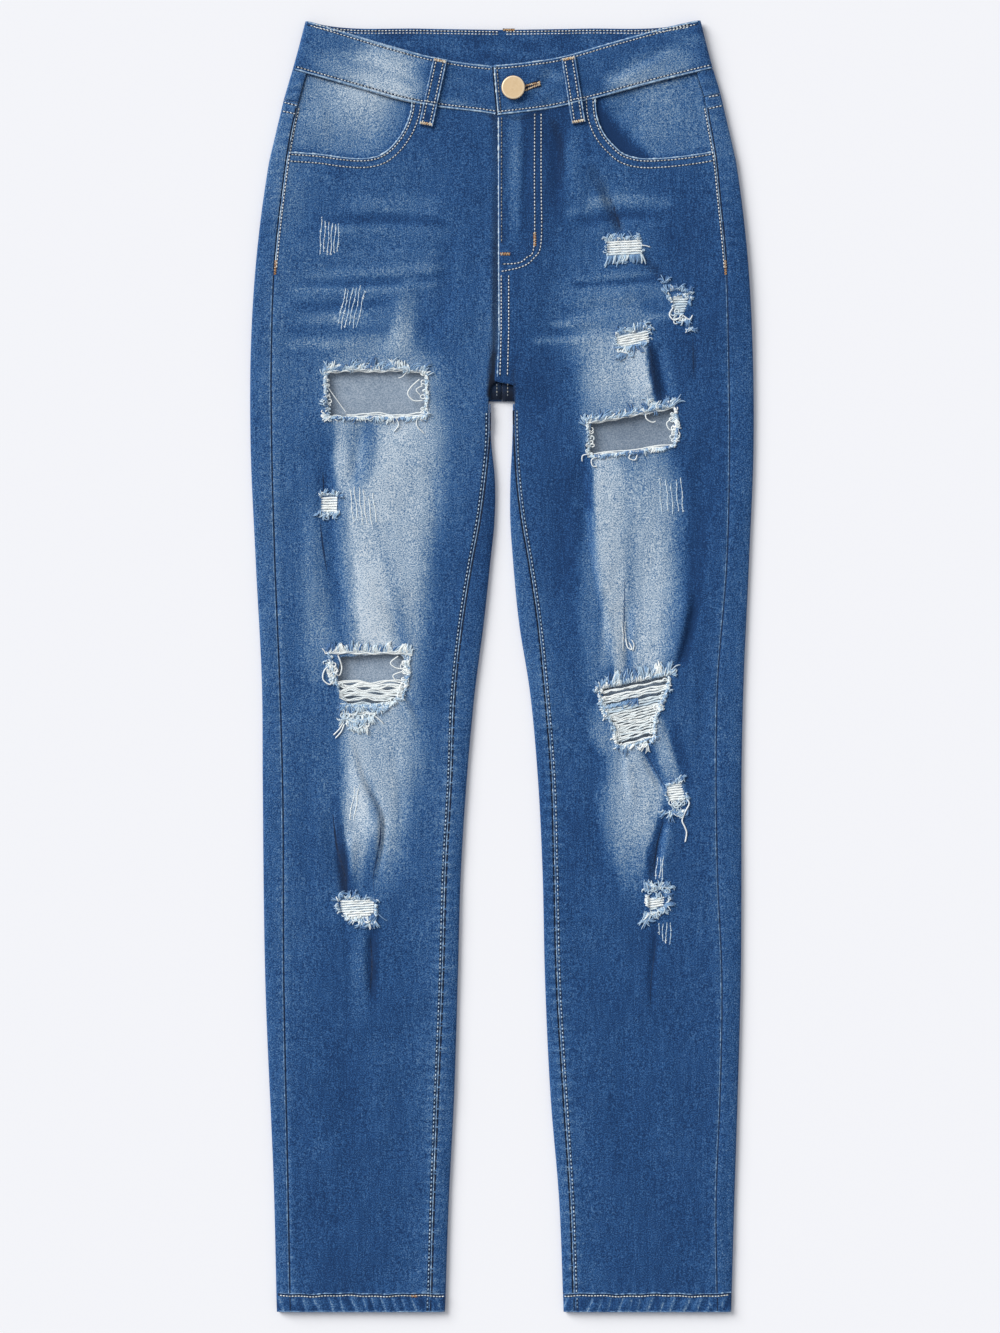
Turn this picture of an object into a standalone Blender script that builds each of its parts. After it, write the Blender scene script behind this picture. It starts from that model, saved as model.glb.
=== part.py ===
"""Ripped skinny jeans, laid flat on their back with the waist towards +Y.

Each cloth piece is a wall of even thickness on rows of points through its middle surface. The back
panels lie underneath and wrap round both sides of each leg, up to the seams on top.
Tables and functions are in millimetres, and MM turns them into metres.
Right and left are the wearer's, so the right leg lies on the -X side. An "across" value is a
distance from the centre plane x = 0, counted positive on the piece's own side.
"""

import math

import bmesh
import bpy
import numpy as np

MM = 0.001

CLOTH = 1.2  # denim wall
BAND = 2.4  # waistband and hems: turned double
LOOP = 1.5  # belt loop strip
SEAM = 0.3  # gap between two pieces
BAND_SEAM = 0.45  # the same along the curved waistband, whose chords differ from the panels'
LIE = 1.5  # from one cloth's middle to the next one's that lies on it

WAIST_Y = 504.0
FOOT_Y = -504.0
HEM_Y = -490.0  # the hem's stitched upper edge
SPLIT_Y = 207.0  # where the legs part
CROTCH_Y = 222.0  # the front's crotch seam
SEAT_Y = 262.0  # down to here pockets and loops carry the back

TOP_ROUND = 12.0  # reach of the round from a side fold to the level top
UNDER_ROUND = 3.0  # the same underneath
LEG_CROWN = 0.6
FLY_LIFT = 1.8  # the left front laps over the right one
FLY_FLAT = 20.0
FLY_FADE = 48.0
FLY_UNDERLAP = 6.5
LEAST_FOLD_REACH = 9.0

SIGN = {"right": -1, "left": 1}

# y, middle of the under layer, middle of the top layer
LEVELS = (
    (WAIST_Y, 2.1, 5.7),
    (SEAT_Y, 2.1, 5.7),
    (215.0, 0.6, 5.0),
    (120.0, 0.6, 4.6),
    (FOOT_Y, 0.6, 4.6),
)

# y, outer side fold, outseam: both as across values
OUTER = {
    "right": (
        (466.0, 163.5, 151.5),
        (442.0, 170.5, 158.5),
        (423.0, 175.5, 163.0),
        (401.0, 180.5, 167.0),
        (364.0, 186.5, 172.0),
        (317.0, 192.0, 177.0),
        (254.0, 196.0, 179.5),
        (176.0, 196.5, 179.5),
        (83.0, 192.5, 177.0),
        (-18.0, 187.5, 173.0),
        (-88.0, 187.0, 171.0),
        (-244.0, 185.0, 170.0),
        (-416.0, 178.0, 166.5),
        (-504.0, 176.0, 165.0),
    ),
    "left": (
        (467.0, 164.5, 150.5),
        (442.0, 172.0, 158.5),
        (423.0, 177.0, 162.0),
        (401.0, 181.5, 166.0),
        (364.0, 187.0, 170.0),
        (317.0, 192.0, 174.5),
        (254.0, 195.5, 176.5),
        (176.0, 196.5, 177.5),
        (83.0, 193.0, 175.5),
        (-18.0, 188.5, 168.0),
        (-88.0, 187.0, 167.0),
        (-158.0, 187.0, 168.0),
        (-244.0, 186.5, 171.5),
        (-338.0, 184.0, 170.0),
        (-416.0, 181.5, 167.0),
        (-504.0, 179.0, 168.0),
    ),
}

# y, inner side fold, inseam: both as across values
INNER = {
    "right": (
        (207.0, 9.0, 10.5),
        (176.0, 8.5, 11.0),
        (145.0, 5.5, 14.0),
        (112.0, 6.0, 18.5),
        (83.0, 9.0, 24.0),
        (36.0, 14.0, 31.5),
        (-18.0, 21.0, 37.5),
        (-88.0, 27.5, 40.5),
        (-158.0, 32.0, 44.5),
        (-244.0, 34.5, 47.0),
        (-338.0, 37.5, 51.0),
        (-416.0, 41.5, 54.0),
        (-504.0, 44.5, 56.5),
    ),
    "left": (
        (207.0, 8.5, 10.0),
        (176.0, 8.0, 10.5),
        (145.0, 6.5, 12.5),
        (112.0, 6.5, 16.5),
        (83.0, 8.5, 21.5),
        (36.0, 13.0, 28.5),
        (-18.0, 21.5, 34.0),
        (-88.0, 28.0, 39.5),
        (-158.0, 31.5, 41.5),
        (-244.0, 33.5, 43.5),
        (-338.0, 38.0, 49.0),
        (-416.0, 44.5, 54.0),
        (-504.0, 48.0, 57.0),
    ),
}

# y, across value of the front's centre edge, from the waist down to the crotch
FRONT_CENTRE = {
    "right": ((470.0, 3.0), (247.0, 1.5), (235.0, 5.0), (222.0, 5.5), (218.5, 9.0), (207.0, 10.5)),
    "left": ((470.0, -3.0), (247.0, -1.5), (235.0, -5.0), (222.5, -5.5), (220.0, 9.0), (207.0, 10.0)),
}

# across, y: the waistband's edges on the front, and on the back
BAND_FRONT_TOP = {
    "right": ((-17.0, 466.0), (6.0, 468.0), (42.0, 472.5), (85.0, 483.0), (120.0, 493.5), (153.5, 503.5)),
    "left": ((-6.5, 468.0), (18.5, 470.5), (45.0, 475.0), (84.0, 486.0), (126.5, 497.5), (155.0, 504.0)),
}
BAND_FRONT_FOOT = {
    "right": ((-17.0, 429.0), (3.0, 430.5), (16.5, 432.5), (50.0, 436.5), (72.0, 440.5),
              (114.0, 452.0), (163.5, 466.0)),
    "left": ((-6.5, 429.5), (30.5, 434.0), (50.5, 438.0), (73.5, 443.5), (114.0, 454.5), (164.5, 467.0)),
}
BAND_BACK_TOP = ((0.0, 497.0), (62.5, 498.0), (138.0, 500.5), (155.0, 504.0))
BAND_BACK_FOOT = ((0.0, 460.0), (100.0, 462.0), (164.5, 466.5))
BAND_SIDE = {"right": (153.5, 163.5), "left": (155.0, 164.5)}  # side fold at the top edge, at the foot
BAND_UNDER = 2.7  # middle of the band's back
BAND_TOP = 6.0  # middle of its front
BAND_LAP_UNDER = 5.4
BAND_LAP_OVER = 8.1
BAND_ROUND = 6.0
LAP_END = {"right": -17.0, "left": -6.5}
YOKE_SIDE_Y = {"right": 442.0, "left": 447.0}
YOKE_CENTRE_Y = 405.0

# across, y: the front pocket's edge, from the band to the outseam
POCKET_EDGE = {
    "right": ((70.5, 441.0), (72.0, 431.0), (77.5, 417.5), (87.0, 405.0), (97.0, 398.5),
              (109.5, 396.5), (125.0, 397.5), (143.0, 400.0), (165.0, 401.5)),
    "left": ((73.0, 444.0), (74.5, 428.5), (80.0, 415.5), (88.5, 405.5), (96.5, 399.5),
             (109.5, 396.5), (128.0, 397.0), (146.5, 399.0), (164.5, 402.0)),
}
FACING_FOOT_Y = 380.0
FACING_INNER = 50.0

# Each rip's outline in across and y, running round
RIPS = {
    "right_thigh": ("right", ((135.0, 230.0), (98.0, 231.0), (61.5, 229.5), (60.5, 213.0),
                              (62.0, 196.5), (97.0, 195.0), (134.0, 196.0), (136.5, 212.0))),
    "right_knee": ("right", ((126.0, 7.0), (102.0, 9.0), (78.5, 8.0), (77.0, -7.0),
                             (86.0, -29.0), (104.0, -31.0), (121.0, -29.0), (127.5, -10.0))),
    "left_thigh": ("left", ((70.0, 191.0), (101.0, 195.5), (132.0, 202.0), (134.5, 187.0),
                            (133.0, 172.0), (101.0, 168.0), (69.0, 165.0), (67.5, 178.0))),
    "left_knee": ("left", ((77.0, -12.0), (104.0, -8.0), (128.0, -4.5), (128.5, -18.5),
                           (119.0, -60.0), (104.0, -62.0), (91.0, -61.0), (84.0, -36.0))),
}

# side, then across and y at the fold's top, middle and foot, then rise, reach inwards, reach outwards
FOLDS = (
    ("right", 112.0, -58.0, 107.0, -125.0, 111.0, -172.0, 3.0, 9.0, 12.0),
    ("right", 99.0, -95.0, 94.0, -128.0, 101.0, -172.0, -1.6, 6.0, 4.0),
    ("right", 135.0, -100.0, 132.0, -130.0, 122.0, -176.0, -1.6, 5.0, 9.0),
    ("right", 101.5, -195.0, 101.0, -225.0, 100.5, -270.0, -1.2, 7.0, 3.5),
    ("right", 112.0, 185.0, 116.0, 100.0, 106.0, 5.0, 1.8, 34.0, 20.0),
    ("right", 133.0, 180.0, 138.0, 120.0, 124.0, 10.0, -1.4, 9.0, 12.0),
    ("left", 84.0, 172.0, 86.0, 83.0, 100.0, -5.0, 2.6, 10.0, 26.0),
    ("left", 66.0, 175.0, 66.0, 90.0, 82.0, 0.0, -1.3, 14.0, 7.0),
    ("left", 147.0, 60.0, 140.0, 30.0, 130.0, -8.0, -1.3, 5.0, 12.0),
    ("left", 121.0, 262.0, 124.0, 238.0, 131.0, 205.0, -1.6, 5.0, 8.0),
    ("left", 108.0, 320.0, 117.0, 308.0, 128.0, 298.0, -1.2, 5.0, 6.0),
    ("left", 76.0, 365.0, 86.0, 348.0, 96.0, 332.0, -1.2, 6.0, 6.0),
    ("left", 108.0, -60.0, 118.0, -82.0, 128.0, -104.0, -1.6, 5.0, 6.0),
    ("left", 127.0, -112.0, 123.0, -140.0, 117.0, -168.0, -2.0, 5.0, 7.0),
    ("left", 120.0, -205.0, 117.0, -228.0, 115.0, -258.0, -1.0, 5.0, 5.0),
)

FRONT_SHARES = (0.0, 0.09, 0.2, 0.31, 0.42, 0.53, 0.64, 0.75, 0.86, 0.94, 1.0)
HIP_ROWS = (400.0, 365.0, 330.0, 295.0, 262.0, 236.0)
CROTCH_ROWS = (222.5, 220.0, 210.0, 205.0)
LEG_ROWS = (176.0, 145.0, 112.0, 83.0, 50.0, 15.0, -18.0, -50.0, -75.0, -100.0, -125.0, -150.0,
            -180.0, -215.0, -255.0, -300.0, -350.0, -400.0, -450.0)

LOOP_WIDTH = 10.5
# across and y of the middle of the loop's top end and foot
FRONT_LOOPS = {"right": (48.0, 473.5, 59.5, 421.5), "left": (51.5, 475.0, 59.7, 423.5)}
BACK_LOOPS = {"back_right": -95.0, "back_centre": 5.0, "back_left": 95.0}
BACK_LOOP_Y = (445.0, 497.0)

# across, y: a back patch pocket, and the closed zip's section across and up
BACK_POCKET = ((40.0, 392.0), (158.0, 392.0), (154.0, 282.0), (99.0, 266.0), (44.0, 282.0))
ZIP_SECTION = ((-13.0, 3.5), (13.0, 3.5), (13.0, 4.1), (2.6, 4.1), (2.0, 4.7), (-2.0, 4.7),
               (-2.6, 4.1), (-13.0, 4.1))
ZIP_X = 6.0
ZIP_Y = (252.0, 428.0)

BUTTON_AT = (8.7, 450.5)
# radius and height of the tack button's profile, from its foot up over the dished face
BUTTON_PROFILE = ((0.0, 0.0), (4.6, 0.0), (4.6, 1.6), (8.6, 1.8), (9.2, 2.6), (9.0, 3.7), (8.2, 4.2),
                  (7.2, 4.0), (6.6, 3.5), (0.0, 3.7))

DENIM = (0.08, 0.2, 0.42)
GOLD = (0.62, 0.45, 0.2)


def blend(start, end, value):
    """A soft step from 0 at start to 1 at end."""
    share = np.clip((value - start) / (end - start), 0.0, 1.0)
    return share * share * (3 - 2 * share)


def along(rows, column, at):
    """The column's value on straight runs between rows, which are ordered by their first column."""
    table = np.array(sorted(rows))
    return float(np.interp(at, table[:, 0], table[:, column]))


def smooth(rows, column, at):
    """The same on a smooth curve through the rows."""
    table = np.array(sorted(rows))
    knots, values = table[:, 0], table[:, column]
    slopes = np.gradient(values, knots)
    at = min(max(at, knots[0]), knots[-1])
    i = min(int(np.searchsorted(knots, at, "right")) - 1, len(knots) - 2)
    i = max(i, 0)
    step = knots[i + 1] - knots[i]
    s = (at - knots[i]) / step
    return float(
        (1 + 2 * s) * (1 - s) ** 2 * values[i] + s * (1 - s) ** 2 * step * slopes[i]
        + s * s * (3 - 2 * s) * values[i + 1] + s * s * (s - 1) * step * slopes[i + 1]
    )


def quarter(distance, reach):
    """Share of the height, 0 to 1, on a quarter round that starts upright and ends level."""
    left = 1 - min(max(distance / reach, 0.0), 1.0)
    return math.sqrt(1 - left * left)


def outer_edge(side, y):
    return smooth(OUTER[side], 1, y) - CLOTH / 2


def outseam(side, y):
    return smooth(OUTER[side], 2, y)


def inner_edge(side, y):
    return smooth(INNER[side], 1, y) + CLOTH / 2


def inseam(side, y):
    return smooth(INNER[side], 2, y)


def front_inner(side, y):
    """The front panel's inner boundary: the centre edge above the crotch, the inseam below it."""
    if y >= SPLIT_Y:
        return along(FRONT_CENTRE[side], 1, y)
    return inseam(side, y)


def under_height(y):
    return along(LEVELS, 1, y)


def fold_height(side, across, y):
    """What the large folds add to the top's height."""
    total = 0.0
    for own, top_a, top_y, middle_a, middle_y, foot_a, foot_y, rise, inwards, outwards in FOLDS:
        if own != side or not foot_y < y < top_y:
            continue
        line = along(((foot_y, foot_a), (middle_y, middle_a), (top_y, top_a)), 1, y)
        share = (top_y - y) / (top_y - foot_y)
        taper = blend(0.0, 0.3, share) * blend(1.0, 0.7, share)
        reach = max(LEAST_FOLD_REACH, outwards if across > line else inwards)
        total += rise * taper * math.exp(-(((across - line) / reach) ** 2))
    return total


def top_height(side, across, y):
    """Middle of the top layer: front panels and the back's strips beside them."""
    under, level = under_height(y), along(LEVELS, 2, y)
    middle = (under + level) / 2
    in_leg = blend(CROTCH_Y, SPLIT_Y - 20, y)
    outer, inner = outer_edge(side, y), inner_edge(side, y)
    share = quarter(outer - across, TOP_ROUND)
    share *= 1 - in_leg * (1 - quarter(across - inner, TOP_ROUND))
    place = (2 * across - outer - inner) / (outer - inner)
    height = middle + (level - middle) * share
    height += in_leg * LEG_CROWN * max(0.0, 1 - place * place)
    if side == "left":
        lap = blend(FLY_FADE, FLY_FLAT, across) * blend(SPLIT_Y, CROTCH_Y - 2, y)
        height += FLY_LIFT * lap
    height += fold_height(side, across, y) * share
    if share > 0.9:
        height = max(height, under + LIE + 0.5)
    return height


def outer_roll(side, y, gap=SEAM / 2):
    """(across, height) from the outseam over the side fold to the level underside."""
    edge, under = outer_edge(side, y), under_height(y)
    strip = edge - outseam(side, y) - gap
    rows = [(edge - d, top_height(side, edge - d, y)) for d in (strip, 0.45 * strip, 1.2, 0.0)]
    middle = rows[-1][1]
    for d in (0.9, UNDER_ROUND):
        rows.append((edge - d, middle - (middle - under) * quarter(d, UNDER_ROUND)))
    return rows


def under_run(side, y, end, steps=5):
    """(across, height) along the underside from the outer roll to `end`."""
    start = outer_edge(side, y) - UNDER_ROUND
    return [(start + (end - start) * k / steps, under_height(y)) for k in range(1, steps + 1)]


def inner_roll(side, y):
    """(across, height) from the underside over the inner side fold to the inseam."""
    edge, under = inner_edge(side, y), under_height(y)
    strip = max(inseam(side, y) - edge - SEAM, 0.5)
    middle = top_height(side, edge, y)
    rows = [(edge + 0.9, middle - (middle - under) * quarter(0.9, UNDER_ROUND))]
    distances = (0.0, min(1.2, 0.4 * strip), 0.55 * strip, strip)
    return rows + [(edge + d, top_height(side, edge + d, y)) for d in distances]


def split_across(side):
    """Where the underside ends in the leg's inner roll, at the height where the legs part."""
    return inner_edge(side, SPLIT_Y) + UNDER_ROUND


def hip_section(side, y):
    """Section of yoke or back panel above the crotch, from outseam to centre-back seam."""
    split = split_across(side)
    rows = outer_roll(side, y) + under_run(side, y, split)
    return rows + [(split * share, under_height(y)) for share in (0.66, 0.33)] + [
        (SEAM / 2, under_height(y))
    ]


def leg_section(side, y):
    """Section of the back panel below the crotch, from outseam round to inseam."""
    return outer_roll(side, y) + under_run(side, y, inner_edge(side, y) + UNDER_ROUND) + (
        inner_roll(side, y)
    )


def placed(side, across, y, height):
    return (SIGN[side] * across * MM, y * MM, height * MM)


def coloured(name, colour, rough, metal=0.0):
    material = bpy.data.materials.new(name)
    material.use_nodes = True
    shader = material.node_tree.nodes["Principled BSDF"]
    shader.inputs["Base Color"].default_value = (*colour, 1)
    shader.inputs["Roughness"].default_value = rough
    shader.inputs["Metallic"].default_value = metal
    material.diffuse_color = (*colour, 1)
    return material


def add_grids(mesh, grids, closed=False):
    """Quads over each grid, a list of rows of points. A closed grid joins each row's two ends."""
    for grid in grids:
        rows = [[mesh.verts.new(point) for point in row] for row in grid]
        for upper, lower in zip(rows, rows[1:]):
            count = len(upper)
            for k in range(count if closed else count - 1):
                after = (k + 1) % count
                mesh.faces.new((upper[k], lower[k], lower[after], upper[after]))


def named_object(name, mesh, colour=DENIM, rough=0.85, metal=0.0, into="ripped_jeans"):
    data = bpy.data.meshes.new(name)
    mesh.to_mesh(data)
    mesh.free()
    made = bpy.data.objects.new(name, data)
    bpy.data.collections[into].objects.link(made)
    data.materials.append(coloured(name, colour, rough, metal))
    return made


def cloth(name, grids, thickness=CLOTH, closed=False, colour=DENIM):
    """A wall of this thickness on the middle surface that the grids give."""
    mesh = bmesh.new()
    add_grids(mesh, grids, closed)
    bmesh.ops.remove_doubles(mesh, verts=mesh.verts, dist=0.01 * MM)
    bmesh.ops.recalc_face_normals(mesh, faces=mesh.faces)
    made = named_object(name, mesh, colour)
    wall = made.modifiers.new("wall", "SOLIDIFY")
    wall.thickness = thickness * MM
    wall.offset = 0.0
    made.data.shade_smooth()
    return made


def prism(name, outline, low, high, into="ripped_jeans", colour=DENIM):
    """A solid between two levels on an outline of (x, y)."""
    mesh = bmesh.new()
    face = mesh.faces.new([mesh.verts.new((x * MM, y * MM, low * MM)) for x, y in outline])
    raised = bmesh.ops.extrude_face_region(mesh, geom=[face])["geom"]
    tops = [part for part in raised if isinstance(part, bmesh.types.BMVert)]
    bmesh.ops.translate(mesh, verts=tops, vec=(0, 0, (high - low) * MM))
    bmesh.ops.recalc_face_normals(mesh, faces=mesh.faces)
    return named_object(name, mesh, colour, into=into)


def rounded(points, per_span=3, closed=False):
    """A smooth curve through the points, which it keeps."""
    points = np.array(points)
    count = len(points)
    last = count if closed else count - 1
    curve = []
    for i in range(last):
        near = [points[(i + k) % count] if closed else points[min(max(i + k, 0), count - 1)]
                for k in (-1, 0, 1, 2)]
        for k in range(per_span):
            t = k / per_span
            curve.append(
                near[1] + 0.5 * t * (near[2] - near[0]
                + t * (2 * near[0] - 5 * near[1] + 4 * near[2] - near[3]
                + t * (3 * (near[1] - near[2]) + near[3] - near[0])))
            )
    if not closed:
        curve.append(points[-1])
    return [tuple(point) for point in curve]


def cut(piece, cutter):
    cutter.hide_render = True
    cutter.display_type = "WIRE"
    slot = piece.modifiers.new(cutter.name, "BOOLEAN")
    slot.operation = "DIFFERENCE"
    slot.object = cutter


def front_point(side, share, y):
    outer = outseam(side, y) - SEAM / 2
    inner = front_inner(side, y)
    if y > SPLIT_Y and side == "right":
        inner -= FLY_UNDERLAP * blend(CROTCH_Y, CROTCH_Y + 6, y)
    elif y <= SPLIT_Y:
        inner += SEAM / 2
    across = outer + (inner - outer) * share
    return across, y


def below_band(side, share, t):
    """A front panel point between the band's foot, at t = 0, and the first level row, at t = 1."""
    across, y = front_point(side, share, 440.0)
    for _ in range(3):
        top = smooth(BAND_FRONT_FOOT[side], 1, across) - BAND_SEAM
        y = top + (HIP_ROWS[0] - top) * t
        across, y = front_point(side, share, y)
    return across, y


def front_panel(side):
    grid = [
        [below_band(side, share, t) for share in FRONT_SHARES] for t in (0.0, 0.3, 0.65)
    ]
    grid += [
        [front_point(side, share, y) for share in FRONT_SHARES]
        for y in HIP_ROWS + CROTCH_ROWS + LEG_ROWS + (HEM_Y + SEAM / 2,)
    ]
    panel = cloth(
        "front_" + side,
        [[[placed(side, a, y, top_height(side, a, y)) for a, y in row] for row in grid]],
    )
    scoop = rounded(POCKET_EDGE[side]) + [(190.0, 403.0), (190.0, 485.0), (POCKET_EDGE[side][0][0], 485.0)]
    cutters = {"scoop_" + side: scoop}
    for name, (own, outline) in RIPS.items():
        if own == side:
            cutters["rip_" + name] = rounded(outline, per_span=2, closed=True)
    for name, outline in cutters.items():
        outline = [(SIGN[side] * across, y) for across, y in outline]
        cut(panel, prism(name, outline, -5.0, 30.0, into="cutters"))


def back_panel(side):
    def hip_row(y_of):
        rows = []
        for k in range(len(hip_section(side, HIP_ROWS[0]))):
            y = HIP_ROWS[0]
            for _ in range(3):
                across, height = hip_section(side, y)[k]
                y = y_of(across)
            rows.append(placed(side, across, y, height))
        return rows

    def leg_row(y, count=None):
        return [placed(side, across, y, height) for across, height in leg_section(side, y)][:count]

    def seam_y(across):
        side_y, edge = YOKE_SIDE_Y[side], outer_edge(side, YOKE_SIDE_Y[side])
        return YOKE_CENTRE_Y + (side_y - YOKE_CENTRE_Y) * min(across / edge, 1.0) - SEAM / 2

    shared = len(outer_roll(side, SPLIT_Y)) + len(under_run(side, SPLIT_Y, 0.0))
    hip = [hip_row(seam_y)]
    hip += [
        [placed(side, a, y, h) for a, h in hip_section(side, y)]
        for y in HIP_ROWS + (CROTCH_Y, SPLIT_Y + UNDER_ROUND)
    ]
    join = [row[:shared] for row in hip[-1:]] + [leg_row(205.0, shared)]
    leg = [leg_row(y) for y in (205.0,) + LEG_ROWS + (HEM_Y + SEAM / 2,)]
    turn = [hip[-1][shared - 1 :]]
    under = under_height(SPLIT_Y)
    level = top_height(side, split_across(side), SPLIT_Y + 6) - LIE - 0.5
    middle = (under + level) / 2
    for d, height in (
        (0.9, middle - (middle - under) * quarter(0.9, UNDER_ROUND)),
        (0.0, middle),
        (1.2, middle + (level - middle) * quarter(1.2, 4.0)),
        (5.0, level),
        (CROTCH_Y - SPLIT_Y + 3.0, level),
    ):
        turn.append([(x, (SPLIT_Y + CLOTH / 2 + d) * MM, height * MM) for x, _, _ in turn[0]])
    cloth("back_" + side, [hip, join, leg, turn])


def yoke(side):
    def seam_y(across):
        side_y, edge = YOKE_SIDE_Y[side], outer_edge(side, YOKE_SIDE_Y[side])
        return YOKE_CENTRE_Y + (side_y - YOKE_CENTRE_Y) * min(across / edge, 1.0) + SEAM / 2

    def row(share):
        points = []
        for k in range(len(hip_section(side, YOKE_SIDE_Y[side]))):
            foot = BAND_FRONT_FOOT[side] if k < 3 else BAND_BACK_FOOT
            y = YOKE_SIDE_Y[side]
            for _ in range(3):
                across, height = hip_section(side, y)[k]
                top = smooth(foot, 1, across) - BAND_SEAM
                y = top + (seam_y(across) - top) * share
            points.append(placed(side, across, y, height))
        return points

    cloth("yoke_" + side, [[row(share) for share in (0.0, 0.5, 1.0)]])


def pocket_facing(side):
    grid = []
    for share in (0.0, 0.25, 0.5, 0.75, 1.0):
        row = []
        for k in range(7):
            y = 430.0
            for _ in range(3):
                outer = outseam(side, y) - SEAM / 2
                across = outer + (FACING_INNER - outer) * k / 6
                top = smooth(BAND_FRONT_FOOT[side], 1, across) - BAND_SEAM
                y = top + (FACING_FOOT_Y - top) * share
            row.append(placed(side, across, y, top_height(side, across, y) - LIE))
        grid.append(row)
    cloth("pocket_facing_" + side, [grid])


def band_front_height(side, across):
    lap = BAND_LAP_UNDER if side == "right" else BAND_LAP_OVER
    return BAND_TOP + (lap - BAND_TOP) * blend(42.0, 22.0, across)


def waistband():
    """One strip from the right front's lapped end, round the back, to the left front's end."""
    middle = (BAND_UNDER + BAND_TOP) / 2
    shares = (0.07, 0.14, 0.22, 0.32, 0.45, 0.6, 0.75, 0.88, 0.96)
    near = (2.4, 0.7, 0.0)

    def front(side, t):
        top, foot = BAND_SIDE[side]
        edge = top + (foot - top) * t - BAND / 2
        points = []
        for across in [LAP_END[side]] + [edge * s for s in shares] + [edge - d for d in near]:
            y = (1 - t) * smooth(BAND_FRONT_TOP[side], 1, across) + t * smooth(
                BAND_FRONT_FOOT[side], 1, across
            )
            level = band_front_height(side, across)
            height = middle + (level - middle) * quarter(edge - across, BAND_ROUND)
            points.append(placed(side, across, y, height))
        return points

    def back(side, t):
        top, foot = BAND_SIDE[side]
        edge = top + (foot - top) * t - BAND / 2
        points = []
        for across in [edge - d for d in (0.7, 2.4)] + [edge * s for s in (0.9, 0.7, 0.45, 0.2)]:
            y = (1 - t) * smooth(BAND_BACK_TOP, 1, across) + t * smooth(BAND_BACK_FOOT, 1, across)
            height = middle - (middle - BAND_UNDER) * quarter(edge - across, 2.4)
            points.append(placed(side, across, y, height))
        return points

    grid = [
        front("right", t) + back("right", t) + back("left", t)[::-1] + front("left", t)[::-1]
        for t in (0.0, 1 / 3, 2 / 3, 1.0)
    ]
    cloth("waistband", [grid], BAND)


def front_loop(side):
    """A strip on the band and, past its foot, on the panel."""
    top_a, top_y, foot_a, foot_y = FRONT_LOOPS[side]
    length = math.hypot(foot_a - top_a, top_y - foot_y)
    normal = ((top_y - foot_y) / length, (foot_a - top_a) / length)
    grid = []
    for share in (0.0, 0.25, 0.5, 0.62, 0.72, 0.8, 0.9, 1.0):
        middle_a, middle_y = top_a + (foot_a - top_a) * share, top_y + (foot_y - top_y) * share
        row = []
        for aside in (-LOOP_WIDTH / 2, 0.0, LOOP_WIDTH / 2):
            across, y = middle_a + aside * normal[0], middle_y + aside * normal[1]
            past = smooth(BAND_FRONT_FOOT[side], 1, across) - y
            on_band = band_front_height(side, across) + BAND / 2
            on_panel = top_height(side, across, y) + CLOTH / 2
            carried = max(on_band, on_panel) * (1 - blend(2.0, 9.0, past)) + on_panel * blend(
                2.0, 9.0, past
            )
            row.append(placed(side, across, y, carried + SEAM + 0.1 + LOOP / 2))
        grid.append(row)
    cloth("belt_loop_front_" + side, [grid], LOOP)


def back_loop(name, x):
    half = LOOP_WIDTH / 2
    foot_y, top_y = BACK_LOOP_Y
    outline = ((x - half, foot_y), (x + half, foot_y), (x + half, top_y), (x - half, top_y))
    prism("belt_loop_" + name, outline, 0.0, CLOTH)


def hem(side):
    """The turned end of a leg: a flat ring under and over both layers."""
    grid = []
    for y in (HEM_Y - SEAM / 2, -497.0, FOOT_Y):
        outer = outer_edge(side, y) - (BAND - CLOTH) / 2
        inner = inner_edge(side, y) + (BAND - CLOTH) / 2
        under, level = BAND / 2, along(LEVELS, 2, y) + LEG_CROWN / 2 - (BAND - CLOTH) / 2
        middle = (under + level) / 2
        row = []
        for d in (0.0, 1.2, 4.0, 9.0, 16.0):
            row.append((outer - d, middle + (level - middle) * quarter(d, TOP_ROUND)))
        width = outer - inner
        row += [(outer - width * share, level) for share in (0.3, 0.5, 0.7)]
        for d in (16.0, 9.0, 4.0, 1.2, 0.0):
            row.append((inner + d, middle + (level - middle) * quarter(d, TOP_ROUND)))
        for d in (0.9, UNDER_ROUND):
            row.append((inner + d, middle - (middle - under) * quarter(d, UNDER_ROUND)))
        row += [(inner + width * share, under) for share in (0.35, 0.65)]
        for d in (UNDER_ROUND, 0.9):
            row.append((outer - d, middle - (middle - under) * quarter(d, UNDER_ROUND)))
        grid.append([placed(side, across, y, height) for across, height in row])
    cloth("hem_" + side, [grid], BAND, closed=True)


def back_pocket(side):
    outline = [(SIGN[side] * across, y) for across, y in BACK_POCKET]
    prism("back_pocket_" + side, outline, 0.0, CLOTH)


def fly_zip():
    """The closed zip's two tapes and raised coil, as one straight run of its section."""
    mesh = bmesh.new()
    start, end = ZIP_Y
    ring = [mesh.verts.new(((ZIP_X + x) * MM, start * MM, z * MM)) for x, z in ZIP_SECTION]
    face = mesh.faces.new(ring)
    raised = bmesh.ops.extrude_face_region(mesh, geom=[face])["geom"]
    ends = [part for part in raised if isinstance(part, bmesh.types.BMVert)]
    bmesh.ops.translate(mesh, verts=ends, vec=(0, (end - start) * MM, 0))
    bmesh.ops.recalc_face_normals(mesh, faces=mesh.faces)
    named_object("fly_zip", mesh)


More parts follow.
